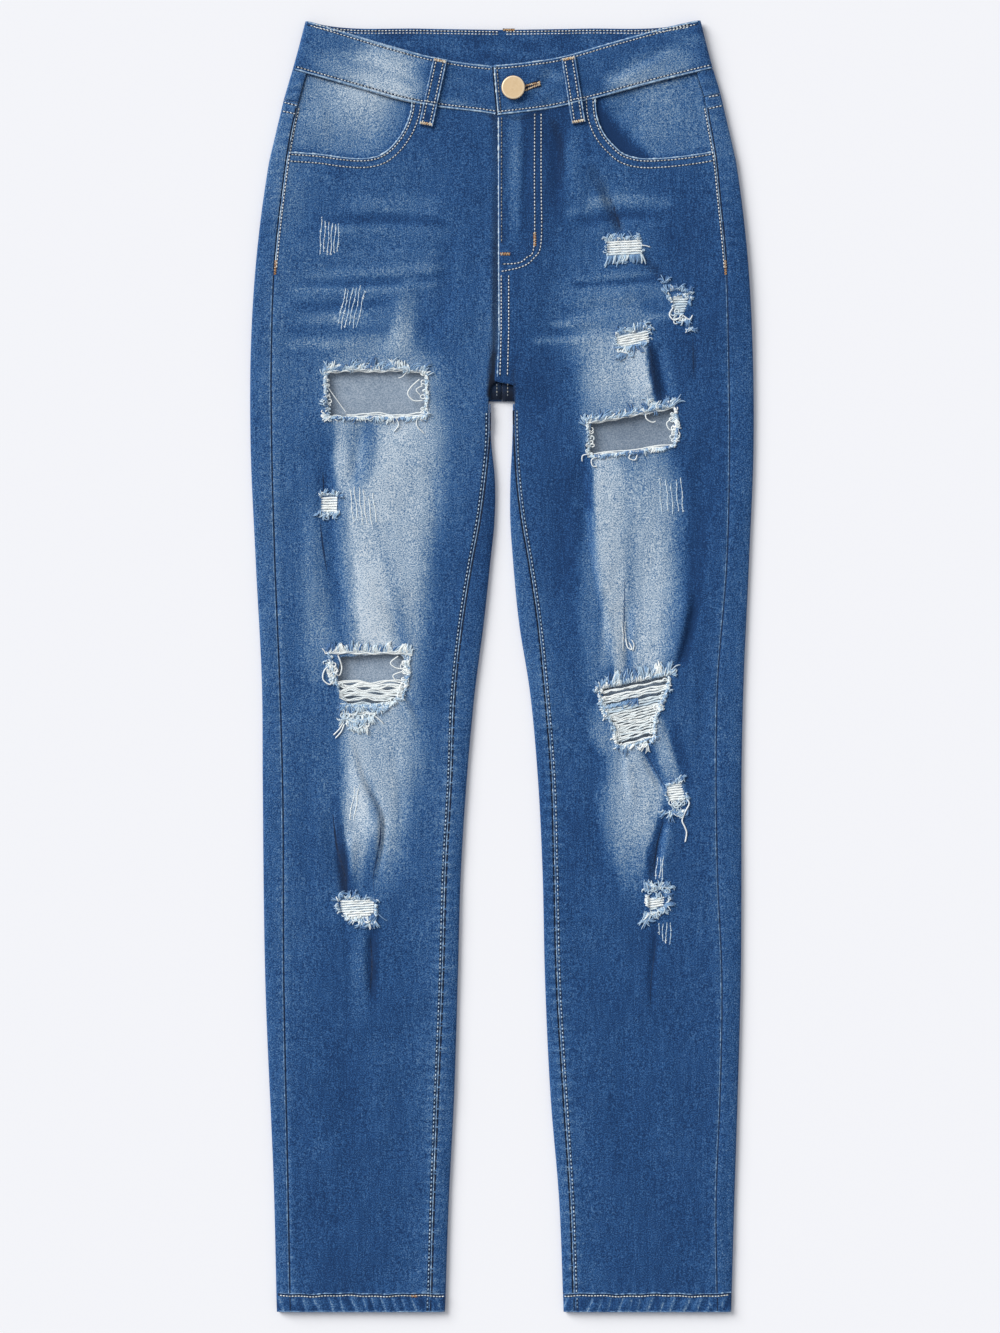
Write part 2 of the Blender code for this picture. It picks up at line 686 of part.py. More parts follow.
def waist_button():
    mesh = bmesh.new()
    points = [mesh.verts.new((r * MM, 0, z * MM)) for r, z in reversed(BUTTON_PROFILE)]
    for first, second in zip(points, points[1:]):
        mesh.edges.new((first, second))
    made = named_object("waist_button", mesh, GOLD, 0.35, 1.0)
    seat = BAND_LAP_OVER + BAND / 2 + SEAM
    made.location = (BUTTON_AT[0] * MM, BUTTON_AT[1] * MM, seat * MM)
    turn = made.modifiers.new("turn", "SCREW")
    turn.steps = turn.render_steps = 32
    turn.use_merge_vertices = True
    turn.merge_threshold = 0.0001


def clear_scene():
    for found in list(bpy.data.objects):
        bpy.data.objects.remove(found, do_unlink=True)
    for name in ("ripped_jeans", "cutters"):
        bpy.context.scene.collection.children.link(bpy.data.collections.new(name))


def main():
    clear_scene()
    for side in ("right", "left"):
        front_panel(side)
        back_panel(side)
        yoke(side)
        pocket_facing(side)
        front_loop(side)
        hem(side)
        back_pocket(side)
    waistband()
    for name, x in BACK_LOOPS.items():
        back_loop(name, x)
    fly_zip()
    waist_button()


main()
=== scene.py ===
"""The looks of the ripped jeans, laid flat on their back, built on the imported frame.

Each cloth piece is a thin shell on the form of its solid, with finer rows, soft creases and the real
holes of the rips. Stitches, worn seam edges, frayed yarns and the ladders of weft threads are joined
meshes. Lengths in tables are in millimetres, and MM turns them into metres. Right and left are the
wearer's; an "across" value is a distance from the centre plane, positive on the piece's own side.
"""

import math

import bmesh
import bpy
import numpy as np
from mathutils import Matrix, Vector
from mathutils.bvhtree import BVHTree


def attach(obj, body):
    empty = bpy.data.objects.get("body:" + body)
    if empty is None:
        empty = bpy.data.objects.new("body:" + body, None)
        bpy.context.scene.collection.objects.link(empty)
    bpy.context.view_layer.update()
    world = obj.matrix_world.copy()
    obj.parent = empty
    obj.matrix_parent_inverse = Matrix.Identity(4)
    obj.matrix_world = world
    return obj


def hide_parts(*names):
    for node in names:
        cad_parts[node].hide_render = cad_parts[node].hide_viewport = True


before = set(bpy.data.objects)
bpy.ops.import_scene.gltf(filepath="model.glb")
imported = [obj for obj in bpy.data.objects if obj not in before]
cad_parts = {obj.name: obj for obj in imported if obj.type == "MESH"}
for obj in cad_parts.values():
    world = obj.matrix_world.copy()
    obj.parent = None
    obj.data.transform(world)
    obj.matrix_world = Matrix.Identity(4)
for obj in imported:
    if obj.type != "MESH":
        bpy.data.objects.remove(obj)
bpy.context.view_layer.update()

MM = 0.001
SIGN = {"right": -1, "left": 1}
SIDES = ("right", "left")

# ---------------------------------------------------------------- the garment's form, as in the solids

CLOTH = 1.2  # denim wall
BAND = 2.4  # waistband and hems, turned double
LOOP = 1.5  # belt loop strip
SEAM = 0.3  # between two panels at a seam
BAND_SEAM = 0.45  # between the panels and the waistband
LIE = 1.5  # from the middle of one layer to the middle of the next where they lie on each other

WAIST_Y = 504
FOOT_Y = -504
HEM_Y = -490
SPLIT_Y = 207  # the underside's split between the legs
CROTCH_Y = 222
SEAT_Y = 262

TOP_ROUND = 12  # reach of a side fold's round on the top layer
UNDER_ROUND = 3  # and on the underside
UNDER_STEPS = (0.3, 0.9, 1.8, UNDER_ROUND)  # where the underside's round has its rows
UNDER_COLUMNS = 24
LEG_CROWN = 0.6  # how far a leg's middle rises over its sides
FLY_LIFT = 1.8  # how far the fly's lap rises, at its full height within FLY_FLAT of the centre
FLY_FLAT = 20
FLY_FADE = 48  # and back on the panel's level here
FLY_UNDERLAP = 6.5
HIP_TOP = 400  # a front panel's rows are level below this, and fan out to the waistband above it
FRONT_STEP = 2.35  # between a front panel's rows

# y, middle of the under layer, middle of the top layer
LEVELS = (
    (WAIST_Y, 2.1, 5.7),
    (SEAT_Y, 2.1, 5.7),
    (215, 0.6, 5),
    (120, 0.6, 4.6),
    (FOOT_Y, 0.6, 4.6),
)

# y, outer side fold, outseam: both as across values
OUTER = {
    "right": (
        (466, 163.5, 151.5), (442, 170.5, 158.5), (423, 175.5, 163), (401, 180.5, 167),
        (364, 186.5, 172), (317, 192, 177), (254, 196, 179.5), (176, 196.5, 179.5),
        (83, 192.5, 177), (-18, 187.5, 173), (-88, 187, 171), (-244, 185, 170),
        (-416, 178, 166.5), (-504, 176, 165),
    ),
    "left": (
        (467, 164.5, 150.5), (442, 172, 158.5), (423, 177, 162), (401, 181.5, 166),
        (364, 187, 170), (317, 192, 174.5), (254, 195.5, 176.5), (176, 196.5, 177.5),
        (83, 193, 175.5), (-18, 188.5, 168), (-88, 187, 167), (-158, 187, 168),
        (-244, 186.5, 171.5), (-338, 184, 170), (-416, 181.5, 167), (-504, 179, 168),
    ),
}

# y, inner side fold, inseam: both as across values
INNER = {
    "right": (
        (207, 9, 10.5), (176, 8.5, 11), (145, 5.5, 14), (112, 6, 18.5),
        (83, 9, 24), (36, 14, 31.5), (-18, 21, 37.5), (-88, 27.5, 40.5),
        (-158, 32, 44.5), (-244, 34.5, 47), (-338, 37.5, 51), (-416, 41.5, 54),
        (-504, 44.5, 56.5),
    ),
    "left": (
        (207, 8.5, 10), (176, 8, 10.5), (145, 6.5, 12.5), (112, 6.5, 16.5),
        (83, 8.5, 21.5), (36, 13, 28.5), (-18, 21.5, 34), (-88, 28, 39.5),
        (-158, 31.5, 41.5), (-244, 33.5, 43.5), (-338, 38, 49), (-416, 44.5, 54),
        (-504, 48, 57),
    ),
}

# y, across value of the front's centre edge, from the waist down to the crotch
FRONT_CENTRE = {
    "right": ((470, 3), (247, 1.5), (235, 5), (222, 5.5), (218.5, 9), (207, 10.5)),
    "left": ((470, -3), (247, -1.5), (235, -5), (222.5, -5.5), (220, 9), (207, 10)),
}

# across, y: the waistband's edges on the front, and on the back
BAND_FRONT_TOP = {
    "right": ((-17, 466), (6, 468), (42, 472.5), (85, 483), (120, 493.5), (153.5, 503.5)),
    "left": ((-6.5, 468), (18.5, 470.5), (45, 475), (84, 486), (126.5, 497.5), (155, 504)),
}
BAND_FRONT_FOOT = {
    "right": ((-17, 429), (3, 430.5), (16.5, 432.5), (50, 436.5), (72, 440.5),
              (114, 452), (163.5, 466)),
    "left": ((-6.5, 429.5), (30.5, 434), (50.5, 438), (73.5, 443.5), (114, 454.5), (164.5, 467)),
}
BAND_BACK_TOP = ((0, 497), (62.5, 498), (138, 500.5), (155, 504))
BAND_BACK_FOOT = ((0, 460), (100, 462), (164.5, 466.5))
BAND_SIDE = {"right": (153.5, 163.5), "left": (155, 164.5)}
BAND_UNDER = 2.7
BAND_TOP = 6
BAND_LAP_UNDER = 5.4
BAND_LAP_OVER = 8.1
BAND_ROUND = 6
LAP_END = {"right": (-17, -17), "left": (-6.5, -3.2)}  # at the band's top edge and at its foot
YOKE_SIDE_Y = {"right": 442, "left": 447}
YOKE_CENTRE_Y = 405

# across, y: the front pocket's edge, from the band to the outseam
POCKET_EDGE = {
    "right": ((70.5, 441), (72, 431), (77.5, 417.5), (87, 405), (97, 398.5),
              (109.5, 396.5), (125, 397.5), (143, 400), (165, 401.5)),
    "left": ((73, 444), (74.5, 428.5), (80, 415.5), (88.5, 405.5), (96.5, 399.5),
             (109.5, 396.5), (128, 397), (146.5, 399), (164.5, 402)),
}
FACING_FOOT_Y = 380
FACING_INNER = 50

# The open rips by side, in across and y from the upper outer or inner corner round, each under the number
# from which its torn edge is drawn: the thigh's and the knee's
RIPS = {
    "right": {
        40: ((135, 230), (98, 231), (61.5, 229.5), (60.5, 213), (62, 196.5), (97, 195), (134, 196),
             (136.5, 212)),
        41: ((126, 7), (102, 9), (78.5, 8), (77, -7), (86, -29), (104, -31), (121, -29), (127.5, -10)),
    },
    "left": {
        42: ((70, 191), (101, 195.5), (132, 202), (134.5, 187), (133, 172), (101, 168), (69, 165),
             (67.5, 178)),
        43: ((78, -17), (104, -12), (128, -8), (127.5, -18), (121.5, -31), (118, -42), (117.5, -57),
             (104, -62), (91.5, -61), (88, -47), (81, -34)),
    },
}

# Rips whose white weft still fills them, as outlines in across and y
WORN_PATCHES = {
    "right": {
        "side": ((140.5, 133), (129, 133), (129.5, 121), (140.5, 121)),
        "low": ((126, -181.5), (100.5, -181.5), (101, -192.5), (108, -196.5), (118, -196.5), (125, -192)),
    },
    "left": {
        "hip_upper": ((82.5, 332), (108, 333), (108.5, 321.5), (83, 319.5)),
        "side": ((134, 289.5), (145, 290.5), (144, 283), (141, 275), (135.5, 274.5), (134, 282)),
        "hip_lower": ((90, 257), (113.5, 262.5), (114, 253), (91, 249)),
        "shin": ((129, -93), (139, -90.5), (142.5, -103.5), (130, -106)),
        "low": ((115, -181), (126, -179), (125.5, -186), (116, -191)),
    },
}

LOOP_WIDTH = 10.5
FRONT_LOOPS = {"right": (48, 473.5, 59.5, 421.5), "left": (51.5, 475, 59.7, 423.5)}
BACK_LOOPS = {"belt_loop_back_right": -95, "belt_loop_back_centre": 5, "belt_loop_back_left": 95}
BACK_LOOP_Y = (445, 497)
BACK_POCKET = ((40, 392), (158, 392), (154, 282), (99, 266), (44, 282))
ZIP_X = 6
ZIP_Y = (252, 428)
BUTTON_AT = (8.7, 450.5)

# radius, height and tint of the button's turned form, from the middle of its foot to the middle of its face;
# the tint is highest on the rim's crest as a painted highlight, and low on the flange and foot beneath it
BUTTON_PROFILE = (
    (0, 0, 0.3), (4.6, 0, 0.3), (4.6, 1.6, 0.2), (7.6, 1.6, 0.1), (8.6, 1.8, 0.1), (9.1, 2.4, 0.25),
    (9.15, 3, 0.5), (9, 3.5, 0.7), (8.7, 3.85, 0.9), (8.3, 4, 0.95), (7.9, 3.99, 0.85), (7.6, 3.97, 0.8),
    (7.3, 3.96, 0.78), (6, 3.96, 0.78), (4, 3.97, 0.78), (2, 3.97, 0.78), (0, 3.97, 0.78),
)
BUTTON_SIDES = 64

# ---------------------------------------------------------------- creases

# rise, reach inwards, reach outwards, then (across, y) from the crease's top to its foot
CREASES = {
    "right": (
        (3, 2.4, 10, ((121, -50), (111, -88), (98.5, -112), (97, -130), (102.5, -170))),
        (-2.2, 2.2, 2, ((108, -88), (95, -112), (93, -131), (98, -172))),
        (-2.6, 3, 9, ((134, -110), (131.5, -130), (128, -150), (121, -175))),
        (1.6, 5, 1.8, ((118, -128), (118, -150), (119, -177))),
        (-1.6, 2.4, 3, ((100.5, -203), (103, -229), (100.5, -266))),
        (0.7, 3, 5, ((107, -203), (109, -229), (107, -262))),
        (-1.5, 7, 8, ((141, 185), (134, 98.5), (126, 14))),
        (-1.5, 5, 5, ((110, 192), (112.5, 165), (119, 136))),
        (1.8, 34, 20, ((106, 188), (104, 100), (104, 5))),
        (-1, 3, 7, ((98, 70), (86, 42.5), (77, 16))),
        (-1.1, 8, 8, ((41, 352), (45, 293.5), (52, 252))),
        (-1.8, 3, 3, ((79, -16), (71, -28.5), (62, -40))),
        (0.8, 3, 3, ((79, -24), (72, -38), (66, -50))),
        (0.9, 8, 8, ((80, 300), (80, 265), (86, 236))),
        (-0.9, 5, 6, ((66, 300), (60, 262), (52, 228))),
        (-0.7, 3, 3, ((122, -175), (124, -196), (118, -226))),
        (0.6, 6, 6, ((144, 165), (148, 110), (143, 40))),
        (-0.7, 4, 5, ((86, -60), (80, -100), (79, -150))),
        (-0.6, 6, 6, ((150, -60), (152, -130), (149, -200))),
        (0.5, 8, 8, ((92, -290), (96, -340), (95, -400))),
        (-0.5, 7, 7, ((120, -280), (122, -340), (120, -410))),
        (-0.5, 6, 6, ((60, 180), (52, 120), (54, 60))),
    ),
    "left": (
        (-2.6, 2.4, 4, ((76, 376), (83, 362), (87, 348.5), (92, 334))),
        (0.9, 6, 5, ((68, 372), (74, 350), (80, 332))),
        (-1.5, 4, 5, ((106, 321), (115, 311), (128, 299))),
        (2.3, 14, 2, ((113.5, 256), (117, 231.5), (122, 209))),
        (-1.8, 2.2, 6, ((119, 254), (123, 231), (129, 207))),
        (-0.8, 2, 3, ((148, 262), (150, 242), (151, 222))),
        (2.5, 2.2, 22, ((68, 166), (71, 122), (76, 70), (80, 40))),
        (-1.7, 7, 2.4, ((62, 168), (65.5, 122), (71, 70))),
        (1.4, 2.4, 7, ((79.5, 56), (85, 20.5), (90.5, -6))),
        (-1.7, 3, 3, ((98, 52), (97.5, 20), (98, -6))),
        (1.8, 10, 2.2, ((147, 62), (140, 26), (132, -3))),
        (-1.5, 2, 6, ((151, 62), (144.5, 26), (136, -3))),
        (1, 1.6, 5, ((95, -66), (98, -88), (102, -112))),
        (-2.3, 2.4, 5.5, ((109.5, -64), (118, -84), (127, -98))),
        (1.2, 5, 3, ((118, -36), (128, -60), (139, -88))),
        (-2.3, 5, 1.8, ((127, -120), (123.5, -139), (118, -168))),
        (1.3, 1.8, 6, ((131, -118), (127.5, -139), (122, -168))),
        (-1.1, 1.6, 3.4, ((120, -205), (117, -233), (115.5, -274))),
        (-0.7, 8, 8, ((42, 190), (47, 98.5), (44, 40))),
        (-0.8, 7, 7, ((156, 190), (155, 114.5), (147, 56))),
        (-0.8, 3, 3, ((19.5, 426), (19.5, 385), (21, 335))),
        (0.7, 3, 3, ((11.5, 426), (12.5, 385), (11.5, 330))),
        (-0.9, 4, 5, ((43, 424), (42, 396), (44, 350))),
        (0.8, 5, 6, ((54, 418), (56, 388), (60, 356))),
        (-0.8, 4, 4, ((72, 392), (70, 366), (74, 340))),
        (0.7, 12, 12, ((92, 300), (94, 262), (96, 214))),
        (-0.5, 6, 6, ((70, -60), (72, -120), (78, -190))),
        (-0.5, 7, 7, ((96, -270), (92, -340), (96, -410))),
        (0.5, 9, 9, ((126, -280), (128, -340), (126, -400))),
        (-0.6, 5, 5, ((158, 20), (156, -40), (157, -110))),
    ),
}

# The same for the waistband, and for the pocket facings
BAND_CREASES = {
    "right": (
        (-0.5, 4, 4, ((120, 490), (104, 478), (84, 468))),
        (0.5, 4, 4, ((100, 484), (88, 470), (74, 456))),
        (-0.45, 3, 3, ((40, 466), (32, 452), (22, 440))),
    ),
    "left": (
        (-0.6, 3, 3, ((40, 468), (31, 452), (18, 440))),
        (0.5, 3, 3, ((46, 462), (38, 448), (26, 438))),
        (-0.5, 3, 4, ((134, 484), (104, 470), (78, 456))),
        (0.45, 3, 4, ((134, 478), (106, 464), (80, 452))),
    ),
}
FACING_CREASES = {
    "right": ((-0.6, 7, 7, ((132, 448), (134, 425), (128, 404))),),
    "left": (
        (-1.1, 8, 8, ((86, 440), (92, 420), (104, 402))),
        (0.7, 8, 8, ((108, 446), (114, 424), (120, 404))),
    ),
}

# ---------------------------------------------------------------- wash: 0 dark indigo, 1 bleached

# Shares of the way from the outer edge to the inner one, and the plain cloth's level there at each y
BASE_SHARES = (0, 0.12, 0.35, 0.7, 0.88, 1)
BASE_WASH = {
    "right": (
        (504, 0.16, 0.16, 0.16, 0.16, 0.16, 0.16), (405, 0.34, 0.3, 0.12, 0.12, 0.13, 0.13),
        (372, 0.3, 0.33, 0.1, 0.13, 0.11, 0.14), (345, 0.15, 0.26, 0.13, 0.18, 0.12, 0.15),
        (320, 0.2, 0.25, 0.23, 0.19, 0.1, 0.22), (292, 0.2, 0.28, 0.27, 0.2, 0.12, 0.22),
        (262, 0.2, 0.27, 0.23, 0.2, 0.17, 0.26), (225, 0.17, 0.28, 0.24, 0.24, 0.24, 0.22),
        (180, 0.2, 0.25, 0.18, 0.28, 0.24, 0.2), (130, 0.24, 0.24, 0.18, 0.26, 0.2, 0.06),
        (85, 0.27, 0.22, 0.2, 0.2, 0.12, 0.06), (30, 0.28, 0.21, 0.22, 0.2, 0.14, 0.18),
        (-40, 0.22, 0.21, 0.22, 0.22, 0.2, 0.2), (-110, 0.2, 0.18, 0.2, 0.22, 0.24, 0.2),
        (-180, 0.18, 0.17, 0.17, 0.14, 0.2, 0.2), (-240, 0.18, 0.18, 0.11, 0.11, 0.19, 0.22),
        (-330, 0.18, 0.14, 0.09, 0.12, 0.22, 0.2), (-430, 0.17, 0.11, 0.09, 0.1, 0.18, 0.2),
        (-504, 0.18, 0.1, 0.08, 0.12, 0.2, 0.2),
    ),
    "left": (
        (504, 0.14, 0.14, 0.14, 0.14, 0.14, 0.14), (405, 0.28, 0.25, 0.14, 0.1, 0.1, 0.1),
        (372, 0.17, 0.13, 0.1, 0.13, 0.1, 0.06), (345, 0.1, 0.08, 0.07, 0.13, 0.1, 0.05),
        (310, 0.13, 0.11, 0.08, 0.14, 0.12, 0.12), (270, 0.15, 0.08, 0.1, 0.16, 0.1, 0.07),
        (225, 0.2, 0.1, 0.1, 0.12, 0.06, 0.06), (180, 0.2, 0.09, 0.1, 0.12, 0.06, 0.1),
        (130, 0.2, 0.06, 0.1, 0.06, 0.1, 0.22), (80, 0.2, 0.1, 0.1, 0.04, 0.12, 0.26),
        (30, 0.22, 0.14, 0.06, 0.06, 0.18, 0.24), (-40, 0.22, 0.17, 0.18, 0.14, 0.18, 0.2),
        (-110, 0.2, 0.14, 0.12, 0.12, 0.08, 0.1), (-180, 0.2, 0.14, 0.13, 0.12, 0.1, 0.12),
        (-250, 0.2, 0.12, 0.1, 0.1, 0.12, 0.18), (-360, 0.2, 0.11, 0.09, 0.1, 0.16, 0.2),
        (-504, 0.2, 0.1, 0.09, 0.1, 0.14, 0.2),
    ),
}

# Bleached strokes over the thighs and below the knees, and darker ones of painted shade in crease valleys:
# how soft the inner and the outer edge is, as a share of the half width, then (across, y, half width, level)
# from the stroke's top to its foot
FADES_AND_SHADES = {
    "right": (
        # above the thigh window
        (0.7, 0.5, ((72, 306, 4, 0.28), (73, 290, 6, 0.36), (76.5, 268, 8, 0.54),
                    (80.5, 252, 8, 0.86), (84.5, 236, 8.5, 0.94))),
        # the thigh
        (0.42, 0.42, ((90, 214, 41, 0.55), (90, 200, 39, 0.66), (83, 182, 35, 0.8),
                      (86, 154, 35, 0.83), (87, 126, 35, 0.84), (90, 98, 33, 0.82),
                      (90, 70, 31, 0.8), (90, 42, 29, 0.72), (90, 14, 27, 0.66),
                      (90, -4, 25, 0.6))),
        (0.7, 0.7, ((107, 198, 5, 0.34), (104, 181, 6, 0.4), (104, 166, 6, 0.46),
                    (107, 152, 6, 0.52), (114, 138, 6, 0.6), (116, 122, 5, 0.7))),
        (0.6, 0.5, ((126, 206, 6, 0.66), (125, 182, 5, 0.7), (125, 158, 6, 0.86),
                    (121, 138, 6, 0.72))),
        (0.6, 0.6, ((77, 190, 9, 0.96), (86, 162, 9, 0.93), (92, 140, 9, 0.92),
                    (92, 120, 8, 0.92))),
        (0.7, 0.7, ((100, 112, 3.5, 0.74), (94, 90, 3.5, 0.74), (84, 66, 3.5, 0.7),
                    (79, 40, 4, 0.56), (75, 16, 4.5, 0.42))),
        (0.5, 0.4, ((111, 116, 8, 0.84), (108, 98, 9, 0.92), (104, 70, 10.5, 1.02),
                    (101, 42, 12, 1.08), (98, 18, 12, 1.1), (96, 4, 11, 1.04))),
        # beside its outer edge
        (0.9, 0.8, ((151, 128, 5, 0.26), (148, 98, 8, 0.34), (147, 70, 10, 0.39),
                    (144, 42, 11, 0.47), (143, 20, 11, 0.46), (143, -4, 9, 0.34))),
        # the shin
        (0.65, 0.25, ((97, -40, 28, 0.76), (95, -70, 28, 0.76), (99, -98, 24, 0.8),
                      (101, -126, 24, 0.76), (99, -140, 21, 0.62), (99, -154, 19, 0.46),
                      (98, -168, 16, 0.32), (97, -186, 12, 0.2))),
        (0.5, 0.5, ((111, -60, 7, 0.86), (110, -84, 7, 0.88), (109, -98, 7, 0.95),
                    (109, -112, 7, 1.02), (111, -126, 6, 0.86), (112, -142, 5, 0.7),
                    (113, -158, 4.5, 0.42))),
        # painted shade in the crease's valley
        (0.6, 0.6, ((104, -88, 2.5, 0.7), (100, -112, 3.5, 0.56), (99.5, -126, 2.5, 0.66),
                    (101, -140, 3.5, 0.36), (103, -156, 4, 0.26), (105, -172, 4, 0.16))),
        # painted shade in the groove beside its outer edge
        (0.6, 0.6, ((130, -104, 3.5, 0.16), (127, -134, 4, 0.06), (124, -154, 4.5, -0.08),
                    (121, -174, 4, -0.04))),
        # below the low rip
        (0.7, 0.7, ((111, -204, 6, 0.18), (112, -240, 6, 0.21), (110, -276, 5, 0.15))),
        # painted shade in the crease's valley
        (0.6, 0.6, ((100, -203, 3.5, 0.02), (100.5, -236, 3.2, -0.05), (100, -262, 3, 0.05))),
    ),
    "left": (
        # beside the fly
        (0.6, 0.4, ((34, 430, 24, 0), (26, 385, 20, 0.04), (20, 335, 14, 0.07))),
        (0.7, 0.7, ((10, 430, 5, 0.22), (10, 400, 6, 0.28), (9, 365, 5, 0.26),
                    (9, 330, 4, 0.16))),
        # painted shade in the crease's valley
        (0.7, 0.7, ((46, 424, 5, 0.02), (42, 396, 5, 0), (44, 352, 5, 0.06))),
        (0.7, 0.7, ((57, 416, 5, 0.2), (56, 388, 6, 0.2), (60, 362, 6, 0.18))),
        # above the thigh window
        (0.6, 0.06, ((86, 266, 26, 0.42), (86, 252, 26.5, 0.66), (88, 238, 25, 0.7),
                     (89, 224, 26, 0.76), (91, 210, 27, 0.66), (93, 196, 28, 0.56))),
        (0.6, 0.2, ((103, 250, 8, 0.94), (104.5, 238, 8, 0.9), (106.5, 224, 8, 0.92),
                    (109.5, 208, 8, 0.84))),
        # painted shade on the fold's steep outer side
        (0.4, 0.9, ((115.5, 258, 2, 0.06), (117.5, 238, 2.5, 0.02), (121.5, 218, 3, 0.02),
                    (126, 204, 3, 0.06))),
        (0.6, 0.6, ((126, 248, 3, 0.24), (128, 232, 4, 0.26), (133, 216, 4, 0.24))),
        # the thigh
        (0.7, 0.7, ((66, 118, 5, 0.26), (68, 98, 6.5, 0.34), (69, 70, 8, 0.34),
                    (69, 42, 9, 0.32), (71, 14, 10, 0.3), (75, -8, 11, 0.32))),
        (0.08, 0.4, ((97, 170, 27, 0.45), (99, 160, 29, 0.5), (102, 146, 31.5, 0.62),
                     (104, 126, 32.5, 0.7), (104, 98, 31.5, 0.7), (106, 70, 31.5, 0.71),
                     (107, 42, 28, 0.66), (107.5, 14, 23.5, 0.62), (108, -6, 20, 0.6))),
        (0.2, 0.8, ((79.5, 168, 8.5, 0.88), (82, 146, 10, 0.91), (83, 120, 9.5, 0.88),
                    (85, 84, 8.5, 0.88), (88, 56, 8, 0.88), (92, 28, 7, 0.9),
                    (95.5, 2, 6, 0.78))),
        (0.6, 0.6, ((113, 116, 8, 0.76), (116, 84, 9, 0.82), (116, 56, 9, 0.85),
                    (115, 28, 9, 0.87), (112, 2, 8, 0.84))),
        # painted shade in the crease's valley
        (0.8, 0.8, ((100, 114, 3.5, 0.66), (100, 70, 3.5, 0.58), (100, 42, 3, 0.6),
                    (100, 18, 3, 0.52), (99, -4, 3, 0.3))),
        (0.8, 0.8, ((83, 40, 4, 0.72), (81, 18, 4.5, 0.55), (80, 3, 4, 0.48))),
        # painted shade along the outer creases
        (0.6, 0.4, ((158, 150, 7, 0.1), (156, 110, 6, 0.07), (152, 70, 5.5, 0.02),
                    (147, 36, 5, 0), (141, 6, 4.5, 0))),
        # painted shade in the fold under the window
        (0.4, 0.6, ((63, 166, 6, 0.1), (62, 148, 5, 0.14), (60, 128, 5, 0.2))),
        # the shin
        (0.7, 0.15, ((97, -56, 16, 0.6), (98, -64, 14, 0.62), (102, -84, 18, 0.76),
                     (104, -98, 22, 0.75), (102, -112, 21, 0.7), (101, -126, 19, 0.66),
                     (99, -140, 15, 0.56), (100, -154, 12, 0.44), (100, -168, 9, 0.3),
                     (100, -182, 6, 0.18))),
        (0.7, 0.3, ((103, -74, 6, 0.8), (107, -104, 7, 0.78), (108, -124, 5, 0.78))),
        (0.3, 0.3, ((122, -46, 6, 0.5), (126, -64, 6.5, 0.58), (131, -80, 6.5, 0.52),
                    (137, -92, 5, 0.44))),
        # painted shade in the crease's valley
        (0.6, 0.6, ((110.5, -63, 2.8, 0.2), (117, -74, 3, 0.15), (123, -85, 3, 0.26),
                    (128, -94, 2.4, 0.3))),
        (0.8, 0.4, ((73, -36, 6, 0.34), (76, -50, 7, 0.48), (81, -62, 6, 0.5))),
        (0.5, 0.7, ((134, -50, 4, 0.05), (140, -70, 4, 0.03), (146, -92, 3.5, 0.08))),
        (0.4, 0.6, ((129, -128, 2.4, 0.3), (126.5, -145, 2.4, 0.24), (124.5, -164, 2.4, 0.22))),
        # painted shade in the crease's valley
        (0.5, 0.4, ((124, -120, 3, 0.06), (119.5, -140, 3.2, 0.12), (116.5, -158, 3.6, 0.04))),
        # painted shade in the crease's valley
        (0.6, 0.6, ((119, -206, 3, 0.02), (117, -226, 3.4, 0), (116, -262, 3, 0.06))),
    ),
}

# Faint fades that lie under the whiskers, in the same way
HAZES = {
    "right": (
        (0.8, 0.6, ((86, 358, 44, 0.22), (86, 340, 46, 0.24), (84, 316, 46, 0.24))),
        (0.5, 0.5, ((92, 266, 22, 0.3), (97, 252, 34, 0.38), (97, 236, 38, 0.52))),
    ),
    "left": (
        (0.8, 0.6, ((86, 362, 30, 0.22), (92, 356, 32, 0.2))),
        (0.7, 0.6, ((84, 308, 34, 0.22), (84, 292, 38, 0.34), (82, 274, 38, 0.33))),
    ),
}

